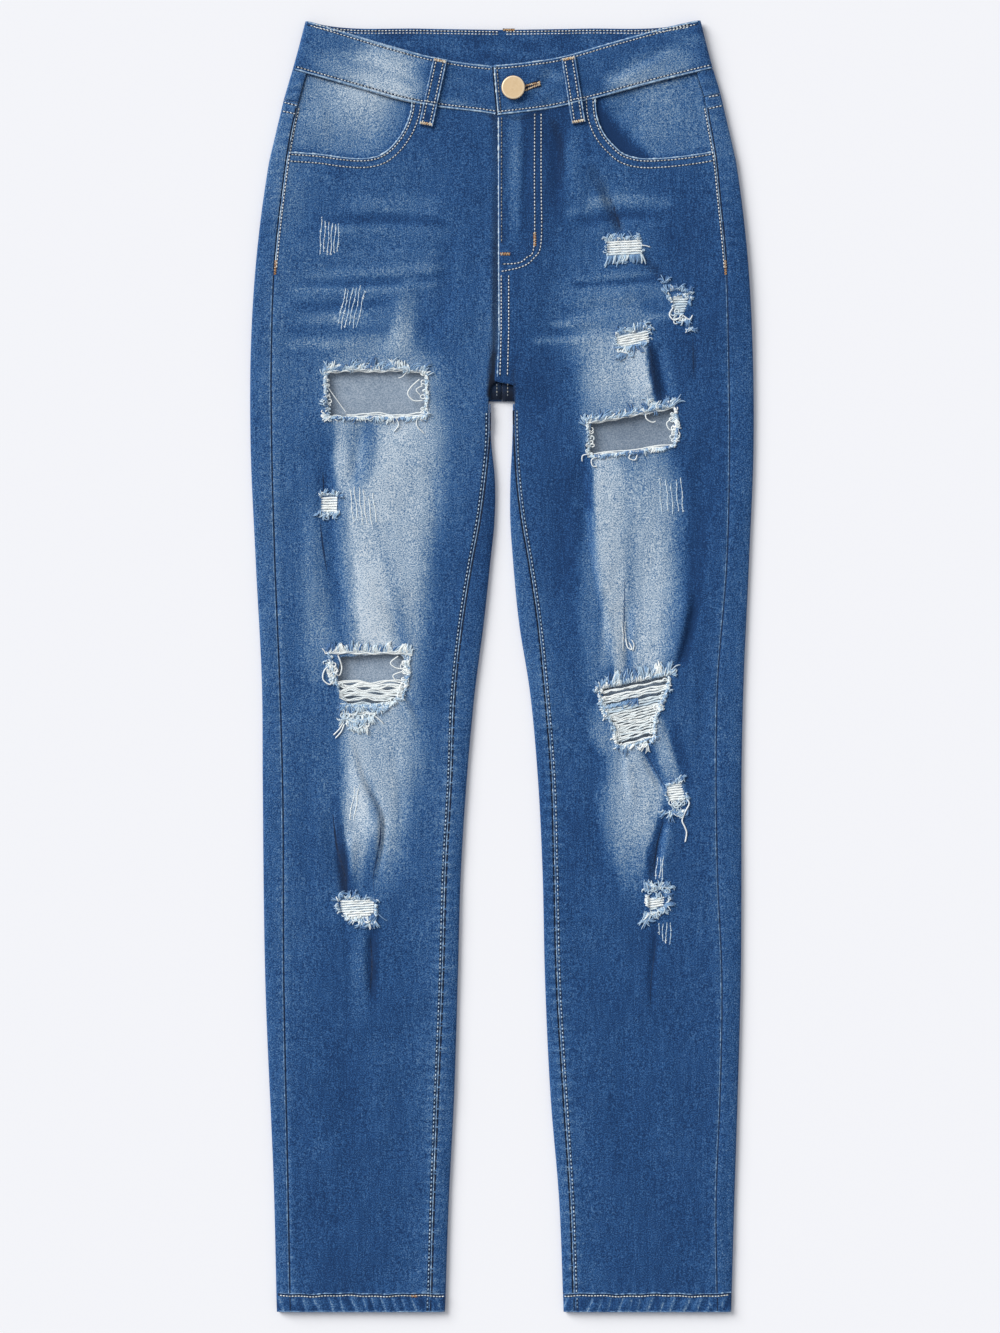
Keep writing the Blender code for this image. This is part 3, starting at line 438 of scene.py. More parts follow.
# Whiskers over the hips, light where a crease's ridge was rubbed and dark in its valley, in the same way
# but without a softness
WHISKERS = {
    "right": (
        ((120, 362, 5.5, 0.26), (103, 360, 5.5, 0.32), (56, 361.5, 5.5, 0.28)),
        ((143.5, 346.5, 3.5, 0.12), (103, 349, 4, 0.08), (48.5, 346.5, 4, 0.1)),
        ((130.5, 340.5, 3, 0.33), (95, 341, 3, 0.3), (43.5, 337.5, 4, 0.26)),
        ((129.5, 321, 2.5, 0.3), (87.5, 322, 2.2, 0.26), (51.5, 322, 3, 0.27)),
        ((148, 304.5, 4, 0.34), (111, 306, 4, 0.35), (64, 309.5, 5, 0.38), (43.5, 312.5, 3, 0.28)),
        ((157.5, 299, 3, 0.22), (118.5, 298.5, 4, 0.14), (64, 302, 4, 0.17), (42, 307.5, 3, 0.16)),
        ((160.5, 293.5, 2.5, 0.36), (118.5, 293, 2.5, 0.37), (79.5, 294.5, 2.5, 0.4),
         (51.5, 298.5, 2.5, 0.33)),
        ((158, 281, 3.5, 0.16), (120, 282, 3.5, 0.12), (88, 284, 3, 0.18)),
        ((157.5, 270, 4, 0.3), (122.5, 272, 4.5, 0.5), (109, 273.5, 4, 0.4)),
        ((160.5, 261.5, 4.5, 0.18), (126.5, 262.5, 4, 0.24), (90, 262.5, 3.5, 0.2)),
        ((166, 252, 4, 0.36), (140, 252, 4, 0.46), (110, 250, 3.5, 0.5)),
    ),
    "left": (
        ((50, 353, 3, 0.28), (70, 361.5, 4, 0.42), (92, 364.5, 4, 0.42), (129.5, 361.5, 4, 0.26)),
        ((60, 346, 4, 0.08), (90, 352, 3.5, 0.02), (120, 352, 3.5, 0.08)),
        ((62.5, 301.5, 2.5, 0.34), (90.5, 304.5, 2.5, 0.38), (118.5, 306, 2.5, 0.3)),
        ((57.5, 297.5, 2.5, 0.1), (92, 300, 2.5, 0.08), (126.5, 303, 2.5, 0.08)),
        ((50, 290, 3.5, 0.26), (86, 289, 4, 0.36), (126.5, 293.5, 4.5, 0.3)),
        ((50, 277, 3.5, 0.18), (90, 280, 3.5, 0.2), (126, 283, 3.5, 0.2)),
        ((40.5, 266.5, 2.5, 0.4), (84, 269.5, 2.5, 0.54), (131, 273.5, 2.5, 0.36)),
        ((29.5, 261, 3, 0.12), (61, 261, 3, 0.18), (84, 263, 3, 0.32)),
        ((26.5, 254, 2.5, 0.34), (53, 254.5, 2.5, 0.46), (76.5, 255.5, 2.5, 0.62)),
    ),
}

# The same, with softness, for the waistband and the pocket facings
BAND_FADES = {
    "right": (
        (0.9, 0.9, ((142, 480, 14, 0.3), (124, 466, 17, 0.58), (112, 458, 16, 0.66))),
        (0.8, 0.8, ((104, 488, 12, 0.44), (97, 476, 18, 0.78), (90, 464, 21, 0.92),
                    (86, 448, 21, 0.9))),
        (0.8, 0.8, ((128, 474, 2.5, 0.4), (112, 468, 3, 0.62), (88, 462, 3, 0.74),
                    (70, 454, 2.5, 0.5))),
        (0.6, 0.6, ((46, 440, 3, 0.32), (24, 437, 3, 0.26), (8, 434, 3, 0.3))),
    ),
    "left": (
        (0.6, 0.6, ((92, 454, 11, 0.52), (116, 460, 14, 0.54), (134, 470, 13, 0.46),
                    (148, 482, 8, 0.3))),
        (0.6, 0.6, ((44, 456, 5, 0.26), (36, 462, 4, 0.24))),
        (0.6, 0.6, ((46, 441, 3, 0.26), (24, 437, 3, 0.24), (4, 434, 3, 0.26))),
    ),
}
FACING_FADES = {
    "right": (
        (0.6, 0.6, ((120, 456, 34, 0.6), (122, 430, 34, 0.56), (120, 408, 34, 0.4))),
        (0.8, 0.8, ((106, 462, 22, 0.96), (108, 444, 20, 0.86), (108, 424, 14, 0.62),
                    (110, 402, 8, 0.4))),
    ),
    "left": (
        (0.6, 0.6, ((120, 456, 26, 0.38), (130, 430, 28, 0.36), (130, 408, 28, 0.33))),
        (0.6, 0.6, ((122, 444, 13, 0.46), (120, 424, 11, 0.44), (120, 408, 8, 0.36))),
        # painted shade under the pocket's curve
        (0.5, 0.8, ((72, 440, 7, 0), (79, 422, 9, -0.14), (91, 408, 9, -0.18),
                    (107, 400, 6, 0))),
    ),
}

# Painted shade in the folds' hollows, beside edges and inside the crotch: 0 none, 1 as dark as the crotch's
# inside, in the same way
PAINTED_SHADES = {
    "right": (
        (0.5, 0.5, ((5.5, 429, 1.8, 0.45), (5, 380, 1.8, 0.4), (5, 350, 2.2, 0.6), (5, 320, 2.4, 0.7),
                    (6, 262, 2.4, 0.7), (7, 236, 3, 0.95), (9, 212, 3, 1))),
        (0.35, 0.9, ((128, -120, 3.5, 0.1), (125.6, -140, 4.2, 0.3), (124.6, -156, 4.4, 0.55),
                     (123.8, -174, 3.2, 0.62))),
        (0.6, 0.6, ((100.5, -212, 2, 0.1), (100.5, -236, 2, 0.25), (100, -258, 2, 0.1))),
        (0.6, 0.6, ((16, 431.5, 1.2, 0.15), (9, 430.5, 2, 0.5), (5, 428, 2.4, 0.6))),
    ),
    "left": (
        (0.5, 0.5, ((9.5, 232, 1.2, 0.3), (9.5, 218, 1.4, 0.6), (9, 207, 1.6, 0.8))),
        (0.4, 0.9, ((113.5, 258, 1.2, 0.35), (116, 238, 2, 0.5), (120, 220, 2.6, 0.5),
                    (124.5, 206, 3.4, 0.45))),
        (0.8, 0.8, ((70, 388, 4, 0.2), (77, 374, 4, 0.36), (84.5, 358, 3.6, 0.44),
                    (91, 342, 3.4, 0.5))),
        (0.7, 0.9, ((108, 322, 2.4, 0.3), (120, 309, 2.2, 0.32), (131, 296, 2, 0.2))),
        (0.6, 0.6, ((148.5, 256, 1, 0.1), (149.5, 238, 1.3, 0.35), (150, 224, 1, 0.1))),
        (0.5, 0.5, ((121, -136, 1.6, 0.2), (116.5, -158, 2, 0.4), (116, -170, 2, 0.3))),
        (0.5, 0.5, ((40, 424, 3, 0.35), (46, 405, 3, 0.3), (46, 380, 2.5, 0.15))),
        (0.6, 0.6, ((3, 428, 1.4, 0.3), (14, 427.5, 1.8, 0.4), (30, 431.5, 1.4, 0.2))),
    ),
}

# A whisker darker than this is a valley. The rise of a valley and of a ridge.
VALLEY_LEVEL = 0.21
VALLEY_DEPTH = -0.4
RIDGE_HEIGHT = 0.25

# Painted shade on the wrong side under the thigh window: how dark it is
WINDOW_SHADE = {"right": 0.06, "left": 0.34}

# Display colours by wash level, from dark indigo through to bleached yarn
WASH_COLOURS = {
    0: (20, 53, 96), 0.11: (33, 73, 125), 0.22: (43, 91, 146), 0.34: (66, 107, 154), 0.46: (92, 127, 164),
    0.74: (144, 167, 191), 0.94: (178, 197, 214), 1.2: (216, 226, 235),
}

# and by tint, for each kind of yarn, and for the bands of painted shade
YARN_COLOURS = {
    "raw_edge": {0: (150, 168, 192), 0.5: (188, 200, 216), 1: (226, 231, 238)},
    "topstitch_thread": {0: (96, 110, 126), 0.25: (168, 168, 160), 0.5: (213, 217, 214),
                         0.75: (233, 239, 240), 1: (250, 255, 255)},
    "tack_thread": {0: (116, 86, 62), 0.3: (184, 130, 84), 0.6: (214, 172, 122), 1: (246, 232, 206)},
    "inseam_thread": {0: (70, 96, 130), 0.5: (142, 178, 210), 1: (208, 230, 246)},
    "frayed_yarn": {0: (78, 118, 168), 0.25: (134, 170, 206), 0.5: (184, 209, 229), 0.75: (226, 238, 243),
                    1: (252, 255, 253)},
    "pressed_groove": {0: (14, 28, 52), 0.5: (36, 66, 108), 1: (84, 114, 150)},
}

# ---------------------------------------------------------------- threads and yarns

STITCH = 1.6  # length of one, every STITCH_PITCH along its row
STITCH_PITCH = 2.7
STITCH_RADIUS = 0.42
YARN_SIDES = 4  # round a yarn's tube
RIM_LEVEL = 4.7  # what crosses a rip stays about as high as the cloth round it

# Vertical scratches: side, across and y of the first line's top, of the last line's top, of the first line's
# foot, and the number of lines
SCRATCHES = (
    ("right", (140.4, 350.5), (126.8, 346), (141.8, 319), 6),
    ("right", (121.8, 296), (107.6, 297.5), (128, 262), 6),
    ("right", (118.8, 141), (101, 138), (116, 109), 6), ("left", (122.8, 149), (140, 148), (124.5, 118), 5),
    ("left", (122.5, -198.5), (131, -199), (122, -215.5), 4),
    ("left", (121.5, -148), (126.5, -147), (120, -166), 3),
    ("right", (114, -93), (111.5, -92), (118.5, -122), 2), ("left", (93.5, 38.5), (96, 36), (94.5, 12), 2),
)

# across, y: the ends of the yoke seam's rows where they come round onto the front
YOKE_ROWS = {
    "right": (((160, 437.5), (170, 440.2)), ((161, 431), (171.5, 433.3))),
    "left": (((161, 444), (170.6, 446.1)), ((161.5, 435), (172, 437.6))),
}

# Painted shade lines along sharp creases: side, width, tint, and (across, y) along each
CREASE_SHADE_LINES = (
    ("left", 1, 0.35, ((115.2, 256), (115.8, 244), (117.2, 228), (120.8, 209))),
    ("left", 0.9, 0.3, ((148.4, 259), (149, 244), (149.4, 229))),
    ("left", 1, 0.75, ((95.8, 68), (95.4, 46), (95.2, 14))),
    ("left", 1.2, 0.5, ((109.5, -63), (119.3, -80.5), (128.6, -96.5))),
    ("left", 1.2, 0.2, ((126, -120), (120.8, -140.5), (118, -168))),
    ("left", 0.9, 0.3, ((120.4, -213), (116.4, -244), (115.4, -266))),
    ("left", 2, 0.2, ((83, 368), (87.5, 357.5), (90.8, 347), (93.2, 336))),
    ("left", 1.1, 0.35, ((109.2, 314), (118, 307), (127.6, 300))),
    ("right", 1.8, 0.15, ((132.2, -114), (129, -140.5), (122.8, -163), (121.8, -176))),
    ("right", 1.3, 0.55,
     ((104, -98), (96.6, -112), (94.4, -127.5), (97, -146), (100.4, -164), (99.6, -178))),
    ("right", 0.8, 0.95, ((117.2, -65), (110.8, -90), (104, -101))),
    ("right", 1.5, 0.2, ((103, -211), (101.6, -234), (103.4, -256))),
    ("right", 1.2, 0.25, ((139.8, 152), (139, 135))),
    ("right", 1.4, 0.3, ((142, 113), (139.4, 91), (136.6, 74))),
)


# ---------------------------------------------------------------- curves and fields


def blend(start, end, value):
    """A soft step from 0 at start to 1 at end."""
    share = np.clip((value - start) / (end - start), 0, 1)
    return share * share * (3 - 2 * share)


def bell(distance, width):
    """1 at a distance of 0, and softly less on both sides of it."""
    return np.exp(-((distance / width) ** 2))


def quarter(distance, reach):
    """Share of the height, 0 to 1, on a quarter round that starts upright and ends level."""
    left = 1 - np.clip(np.asarray(distance) / reach, 0, 1)
    return np.sqrt(1 - left * left)


def along(rows, column, at):
    """The column's value on straight runs between rows, which are ordered by their first column."""
    table = np.array(sorted(rows), float)
    return np.interp(at, table[:, 0], table[:, column])


def smooth(rows, column, at):
    """The same on a smooth curve through the rows."""
    table = np.array(sorted(rows), float)
    knots, values = table[:, 0], table[:, column]
    slopes = np.gradient(values, knots)
    at = np.clip(at, knots[0], knots[-1])
    i = np.clip(np.searchsorted(knots, at, "right") - 1, 0, len(knots) - 2)
    step = knots[i + 1] - knots[i]
    s = (at - knots[i]) / step
    return (
        (1 + 2 * s) * (1 - s) ** 2 * values[i] + s * (1 - s) ** 2 * step * slopes[i]
        + s * s * (3 - 2 * s) * values[i + 1] + s * s * (s - 1) * step * slopes[i + 1]
    )


def curve(nodes, per_span=6):
    """Rows on a smooth curve through the nodes, whose every column runs along with it."""
    nodes = np.array(nodes, float)
    last = len(nodes) - 1
    rows = []
    for i in range(last):
        before, start, end, after = (nodes[min(max(i + k, 0), last)] for k in (-1, 0, 1, 2))
        for t in np.arange(per_span) / per_span:
            rows.append(start + 0.5 * t * (end - before + t * (
                2 * before - 5 * start + 4 * end - after + t * (3 * (start - end) + after - before))))
    return np.array([*rows, nodes[-1]])


def run_along(path):
    """The length run from the path's start to each of its rows."""
    return np.concatenate([[0], np.cumsum(np.linalg.norm(np.diff(path[:, :2], axis=0), axis=1))])


def evenly(path, step):
    """The path's rows at even steps of about this length."""
    path = np.asarray(path, float)
    run = run_along(path)
    at = np.linspace(0, run[-1], max(2, int(round(run[-1] / step)) + 1))
    return np.stack([np.interp(at, run, column) for column in path.T], axis=1)


def offset(path, distance):
    """The path moved sideways, to its right as it runs."""
    path = np.asarray(path, float)
    run = np.gradient(path[:, :2], axis=0)
    run /= np.linalg.norm(run, axis=1, keepdims=True) + 1e-9
    moved = path.copy()
    moved[:, 0] += run[:, 1] * distance
    moved[:, 1] -= run[:, 0] * distance
    return moved


def nearest(across, y, path):
    """Distance to a path, place along it counted in rows, and side: +1 outwards of one that runs down."""
    best = np.full(np.shape(across), 1e9)
    place = np.zeros(np.shape(across))
    hand = np.ones(np.shape(across))
    for i, (first, second) in enumerate(zip(path, path[1:])):
        da, dy = second[0] - first[0], second[1] - first[1]
        t = np.clip(((across - first[0]) * da + (y - first[1]) * dy) / (da * da + dy * dy + 1e-9), 0, 1)
        oa, oy = across - first[0] - t * da, y - first[1] - t * dy
        distance = np.hypot(oa, oy)
        nearer = distance < best
        best = np.where(nearer, distance, best)
        place = np.where(nearer, i + t, place)
        hand = np.where(nearer, np.sign(da * oy - dy * oa), hand)
    return best, place, hand


def around(across, y, path, reach):
    """Which places lie within this reach of the box round the path."""
    low_a, low_y = path[:, :2].min(axis=0) - reach
    high_a, high_y = path[:, :2].max(axis=0) + reach
    return (across > low_a) & (across < high_a) & (y > low_y) & (y < high_y)


def outline_distance(across, y, outline):
    """Distance to a closed outline, below 0 inside it."""
    ring = np.concatenate([outline, outline[:1]])
    distance = nearest(across, y, ring)[0]
    inside = np.zeros(across.shape, bool)
    for (a1, y1), (a2, y2) in zip(ring, ring[1:]):
        crosses = (y1 > y) != (y2 > y)
        inside ^= crosses & (across < (a2 - a1) * (y - y1) / (y2 - y1 + 1e-12) + a1)
    return np.where(inside, -distance, distance)


def ripple(across, y, length, seed):
    """A smooth uneven field, mostly from -1 to 1, of waves about this long."""
    draw = np.random.default_rng(seed)
    total = np.zeros(np.shape(across))
    waves = 7
    for _ in range(waves):
        angle, phase = draw.uniform(0, math.tau, 2)
        step = length * draw.uniform(0.7, 1.6)
        total = total + np.sin((across * math.cos(angle) + y * math.sin(angle)) * math.tau / step + phase)
    return total / math.sqrt(2 * waves) * 1.4


def paired(across, y):
    """Across and y as arrays of one shape."""
    return np.broadcast_arrays(np.asarray(across, float), np.asarray(y, float))


def creased(across, y, creases):
    """The height that creases add."""
    across, y = paired(across, y)
    total = np.zeros(across.shape)
    for rise, inwards, outwards, nodes in creases:
        path = curve(nodes, 4)
        near = around(across, y, path, 3 * max(inwards, outwards))
        if near.any():
            distance, place, hand = nearest(across[near], y[near], path)
            share = place / (len(path) - 1)
            taper = blend(-0.02, 0.3, share) * blend(1.02, 0.68, share)
            total[near] += rise * taper * bell(distance, np.where(hand > 0, outwards, inwards))
    return total


def painted(level, across, y, strokes):
    """The level after these strokes, each over the ones before it."""
    across, y = paired(across, y)
    level = np.array(np.broadcast_to(level, across.shape), float)
    for soft_in, soft_out, nodes in strokes:
        path = curve(nodes, 4)
        near = around(across, y, path, path[:, 2].max() * (1 + max(soft_in, soft_out)) + 2)
        if near.any():
            distance, place, hand = nearest(across[near], y[near], path)
            half, target = (np.interp(place, np.arange(len(path)), path[:, k]) for k in (2, 3))
            soft = np.where(hand > 0, soft_out, soft_in)
            level[near] += (target - level[near]) * blend(1 + soft, 1 - soft, distance / half)
    return level


# ---------------------------------------------------------------- the garment's surfaces


def outer_edge(side, y):
    return smooth(OUTER[side], 1, y) - CLOTH / 2


def outseam(side, y):
    return smooth(OUTER[side], 2, y)


def inner_edge(side, y):
    return smooth(INNER[side], 1, y) + CLOTH / 2


def inseam(side, y):
    return smooth(INNER[side], 2, y)


def front_inner(side, y):
    return np.where(y >= SPLIT_Y, along(FRONT_CENTRE[side], 1, y), inseam(side, y))


def under_height(y):
    return along(LEVELS, 1, y)


def puckers(side, across, y):
    """Short drawn-up ridges beside the seams, and ripples just above the hem."""
    beat = np.sin(math.tau * (y / 8.6 + 0.35 * np.sin(y / 31) + 0.2 * np.sin(y / 11.3 + SIGN[side])))
    from_inseam, from_outseam = across - inseam(side, y), across - outseam(side, y)
    strength = 0.62 * bell(from_inseam, 6) * blend(70, -60, y)
    strength = strength + 0.26 * bell(from_outseam, 5) * blend(320, 240, y)
    strength = strength + 0.34 * bell(from_outseam - 4, 6) * blend(318, 330, y)
    sway = np.sin(math.tau * (across / 8.4 + 0.3 * np.sin(across / 17)))
    return strength * beat + 0.22 * sway * blend(HEM_Y + 11, HEM_Y + 1, y)


def relief(side, across, y):
    """Creases, whisker valleys, seam puckers and unevenness of the top layer."""
    height = creased(across, y, CREASES[side])
    whiskers = []
    for nodes in WHISKERS[side]:
        rise = VALLEY_DEPTH if nodes[1][3] < VALLEY_LEVEL else RIDGE_HEIGHT
        reach = nodes[0][2] + 1
        whiskers.append((rise, reach, reach, [node[:2] for node in nodes]))
    height = height + creased(across, y, whiskers)
    height = height + 0.3 * ripple(across, y, 46, 3 + SIGN[side]) + 0.1 * ripple(across, y, 15, 8)
    return height + puckers(side, across, y)


def top_height(side, across, y):
    """Middle of the top layer: front panels and the back's strips beside them."""
    across, y = paired(across, y)
    under, level = under_height(y), along(LEVELS, 2, y)
    middle = (under + level) / 2
    in_leg = blend(CROTCH_Y, SPLIT_Y - 20, y)
    outer, inner = outer_edge(side, y), inner_edge(side, y)
    share = quarter(outer - across, TOP_ROUND)
    share = share * (1 - in_leg * (1 - quarter(across - inner, TOP_ROUND)))
    place = (2 * across - outer - inner) / (outer - inner)
    height = middle + (level - middle) * share
    height = height + in_leg * LEG_CROWN * np.maximum(0, 1 - place * place)
    if side == "left":
        lap = blend(FLY_FADE, FLY_FLAT, across) * blend(SPLIT_Y, CROTCH_Y - 2, y)
        height = height + FLY_LIFT * lap
    height = height + relief(side, across, y) * share
    return np.where(share > 0.9, np.maximum(height, under + LIE + 0.5), height)


def band_front_height(side, across):
    lap = BAND_LAP_UNDER if side == "right" else BAND_LAP_OVER
    return BAND_TOP + (lap - BAND_TOP) * blend(42, 22, across)


def band_height(side, across, y):
    """Middle of the waistband's front."""
    uneven = creased(across, y, BAND_CREASES[side]) + 0.12 * ripple(across, y, 24, 21)
    return band_front_height(side, across) + uneven


def base_wash(side, across, y):
    """Level of the plain cloth."""
    outer, inner = smooth(OUTER[side], 1, y), np.where(y > SPLIT_Y, 2, smooth(INNER[side], 1, y))
    share = np.clip((outer - across) / (outer - inner), 0, 1)
    columns = [along(BASE_WASH[side], k + 1, y) for k in range(len(BASE_SHARES))]
    level = columns[0] * np.ones(np.shape(share))
    for k, (first, second) in enumerate(zip(BASE_SHARES, BASE_SHARES[1:])):
        step = np.clip((share - first) / (second - first), 0, 1)
        level = level + (columns[k + 1] - columns[k]) * step
    return level


def wash(side, across, y):
    """How bleached the top layer is, with painted shade in crease valleys and painted light and shade on the
    puckers.
    """
    level = base_wash(side, across, y) + 0.015 * ripple(across, y, 60, 31)
    whiskers = [(0.7, 0.7, nodes) for nodes in WHISKERS[side]]
    level = painted(level, across, y, (*HAZES[side], *whiskers, *FADES_AND_SHADES[side]))
    # Lighter on the creases' ridges where rubbed, and darker in their valleys as painted shade
    rubbed = [crease for crease in CREASES[side] if abs(crease[0]) < 1.9 and max(crease[1:3]) < 12]
    level = level + 0.05 * creased(across, y, rubbed)
    # Lighter on the puckers' ridges and the ripples above the hem and darker between them: painted light and
    # shade
    return level + 0.22 * puckers(side, across, y) + 0.012 * ripple(across * 5, y, 40, 32)


# ---------------------------------------------------------------- meshes


def placed(side, across, y, height):
    """Points in metres from across, y and height in millimetres."""
    across, y, height = np.broadcast_arrays(across, y, height)
    return np.stack([SIGN[side] * across, y, height], axis=-1) * MM


def made_object(name, points, faces, materials):
    mesh = bpy.data.meshes.new(name)
    mesh.from_pydata(np.asarray(points).reshape(-1, 3), [], faces)
    mesh.shade_smooth()
    made = bpy.data.objects.new(name, mesh)
    bpy.context.scene.collection.objects.link(made)
    for material in materials:
        mesh.materials.append(material)
    return made


def grid_faces(rows, columns, start=0, closed=False):
    """Quads over a grid of points; a closed one joins each row's two ends."""
    index = start + np.arange(rows * columns).reshape(rows, columns)
    if closed:
        index = np.concatenate([index, index[:, :1]], axis=1)
    quads = np.stack([index[:-1, :-1], index[1:, :-1], index[1:, 1:], index[:-1, 1:]], axis=-1)
    return quads.reshape(-1, 4).tolist()


def attribute(piece, name, values):
    layer = piece.data.attributes.new(name, "FLOAT", "POINT")
    layer.data.foreach_set("value", np.asarray(values, np.float32).ravel())


def corners(piece):
    """The x, y and height of the mesh's points, in millimetres."""
    points = np.zeros(len(piece.data.vertices) * 3, np.float32)
    piece.data.vertices.foreach_get("co", points)
    return points.reshape(-1, 3).astype(float).T / MM


def face_up(piece):
    """Turns the mesh's faces so that its highest one looks up."""
    flat = max(piece.data.polygons, key=lambda face: abs(face.normal.z) * face.area + face.center.z)
    if flat.normal.z <= 0:
        piece.data.flip_normals()


def welded(name, grids, materials, closed=False):
    """One mesh over several grids that share edges."""
    points, faces = [], []
    for grid in grids:
        faces += grid_faces(grid.shape[0], grid.shape[1], sum(len(p) for p in points), closed)
        points.append(grid.reshape(-1, 3))
    made = made_object(name, np.concatenate(points), faces, materials)
    mesh = bmesh.new()
    mesh.from_mesh(made.data)
    bmesh.ops.remove_doubles(mesh, verts=mesh.verts, dist=0.02 * MM)
    bmesh.ops.recalc_face_normals(mesh, faces=mesh.faces)
    mesh.to_mesh(made.data)
    mesh.free()
    return made


def clipped(name, points, keep, materials):
    """The part of a grid of points where `keep` is above 0, cut straight across cells on its border."""
    flat, value = points.reshape(-1, 3), keep.ravel()
    cells = np.array(grid_faces(*keep.shape))
    inside = value[cells] > 0
    faces = cells[inside.all(axis=1)].tolist()
    added, borders = [], {}

    def border(first, second):
        low, high = sorted((first, second))
        if (low, high) not in borders:
            t = value[low] / (value[low] - value[high])
            borders[low, high] = len(flat) + len(added)
            added.append(flat[low] + (flat[high] - flat[low]) * np.clip(t, 0.02, 0.98))
        return borders[low, high]

    for cell in cells[inside.any(axis=1) & ~inside.all(axis=1)].tolist():
        face = []
        for first, second in zip(cell, cell[1:] + cell[:1]):
            if value[first] > 0:
                face.append(first)
            if (value[first] > 0) != (value[second] > 0):
                face.append(border(first, second))
        if len(face) > 2:
            faces.append(face)
    everything = np.concatenate([flat, added])
    used = np.unique([corner for face in faces for corner in face])
    number = np.zeros(len(everything), int)
    number[used] = np.arange(len(used))
    return made_object(name, everything[used], [number[face].tolist() for face in faces], materials)


def tubes(paths, radii):
    """Points and faces of many round yarns of equal row counts, joined. paths is (n, k, 3), radii (n, k)."""
    count, rows, _ = paths.shape
    heading = np.gradient(paths, axis=1)
    heading /= np.linalg.norm(heading, axis=2, keepdims=True) + 1e-9
    upward = np.where(np.abs(heading[..., 2:3]) > 0.9, [1, 0, 0], [0, 0, 1])
    sideways = np.cross(heading, upward)
    sideways /= np.linalg.norm(sideways, axis=2, keepdims=True) + 1e-9
    normal = np.cross(sideways, heading)
    turn = (np.arange(YARN_SIDES) * math.tau / YARN_SIDES)[:, None]
    ring = sideways[:, :, None] * np.cos(turn) + normal[:, :, None] * np.sin(turn)
    points = paths[:, :, None] + ring * radii[:, :, None, None]
    index = np.arange(count * rows * YARN_SIDES).reshape(count, rows, YARN_SIDES)
    after = np.roll(index, -1, axis=2)
    quads = np.stack([index[:, :-1], index[:, 1:], after[:, 1:], after[:, :-1]], axis=-1)
    caps = np.concatenate([index[:, 0, ::-1], index[:, -1]])
    return points.reshape(-1, 3), quads.reshape(-1, 4).tolist() + caps.tolist()


class Strands:
    """Collects yarns or bands, each point with a tint, for one joined mesh."""

    def __init__(self):
        self.points, self.faces, self.tints = [], [], []
        self.count = 0

    def take(self, points, faces, tints):
        self.faces += [[corner + self.count for corner in face] for face in faces]
        self.points.append(points)
        self.tints.append(tints)
        self.count += len(points)

    def add(self, paths, radii, tints):
        """Yarns of equal row counts, each with one tint, or with one for each row."""
        points, faces = tubes(paths, radii)
        tints = np.broadcast_to(np.asarray(tints, float).reshape(len(paths), -1), paths.shape[:2])
        self.take(points, faces, np.repeat(tints, YARN_SIDES))

    def made(self, name, material):
        piece = made_object(name, np.concatenate(self.points) * MM, self.faces, [material])
        attribute(piece, "tint", np.concatenate(self.tints))
        return piece


# ---------------------------------------------------------------- materials


def ink(red, green, blue):
    """A display colour, 0 to 255, as a linear one."""
    share = np.array([red, green, blue]) / 255
    linear = np.where(share <= 0.04045, share / 12.92, ((share + 0.055) / 1.055) ** 2.4)
    return (*[float(value) for value in linear], 1)


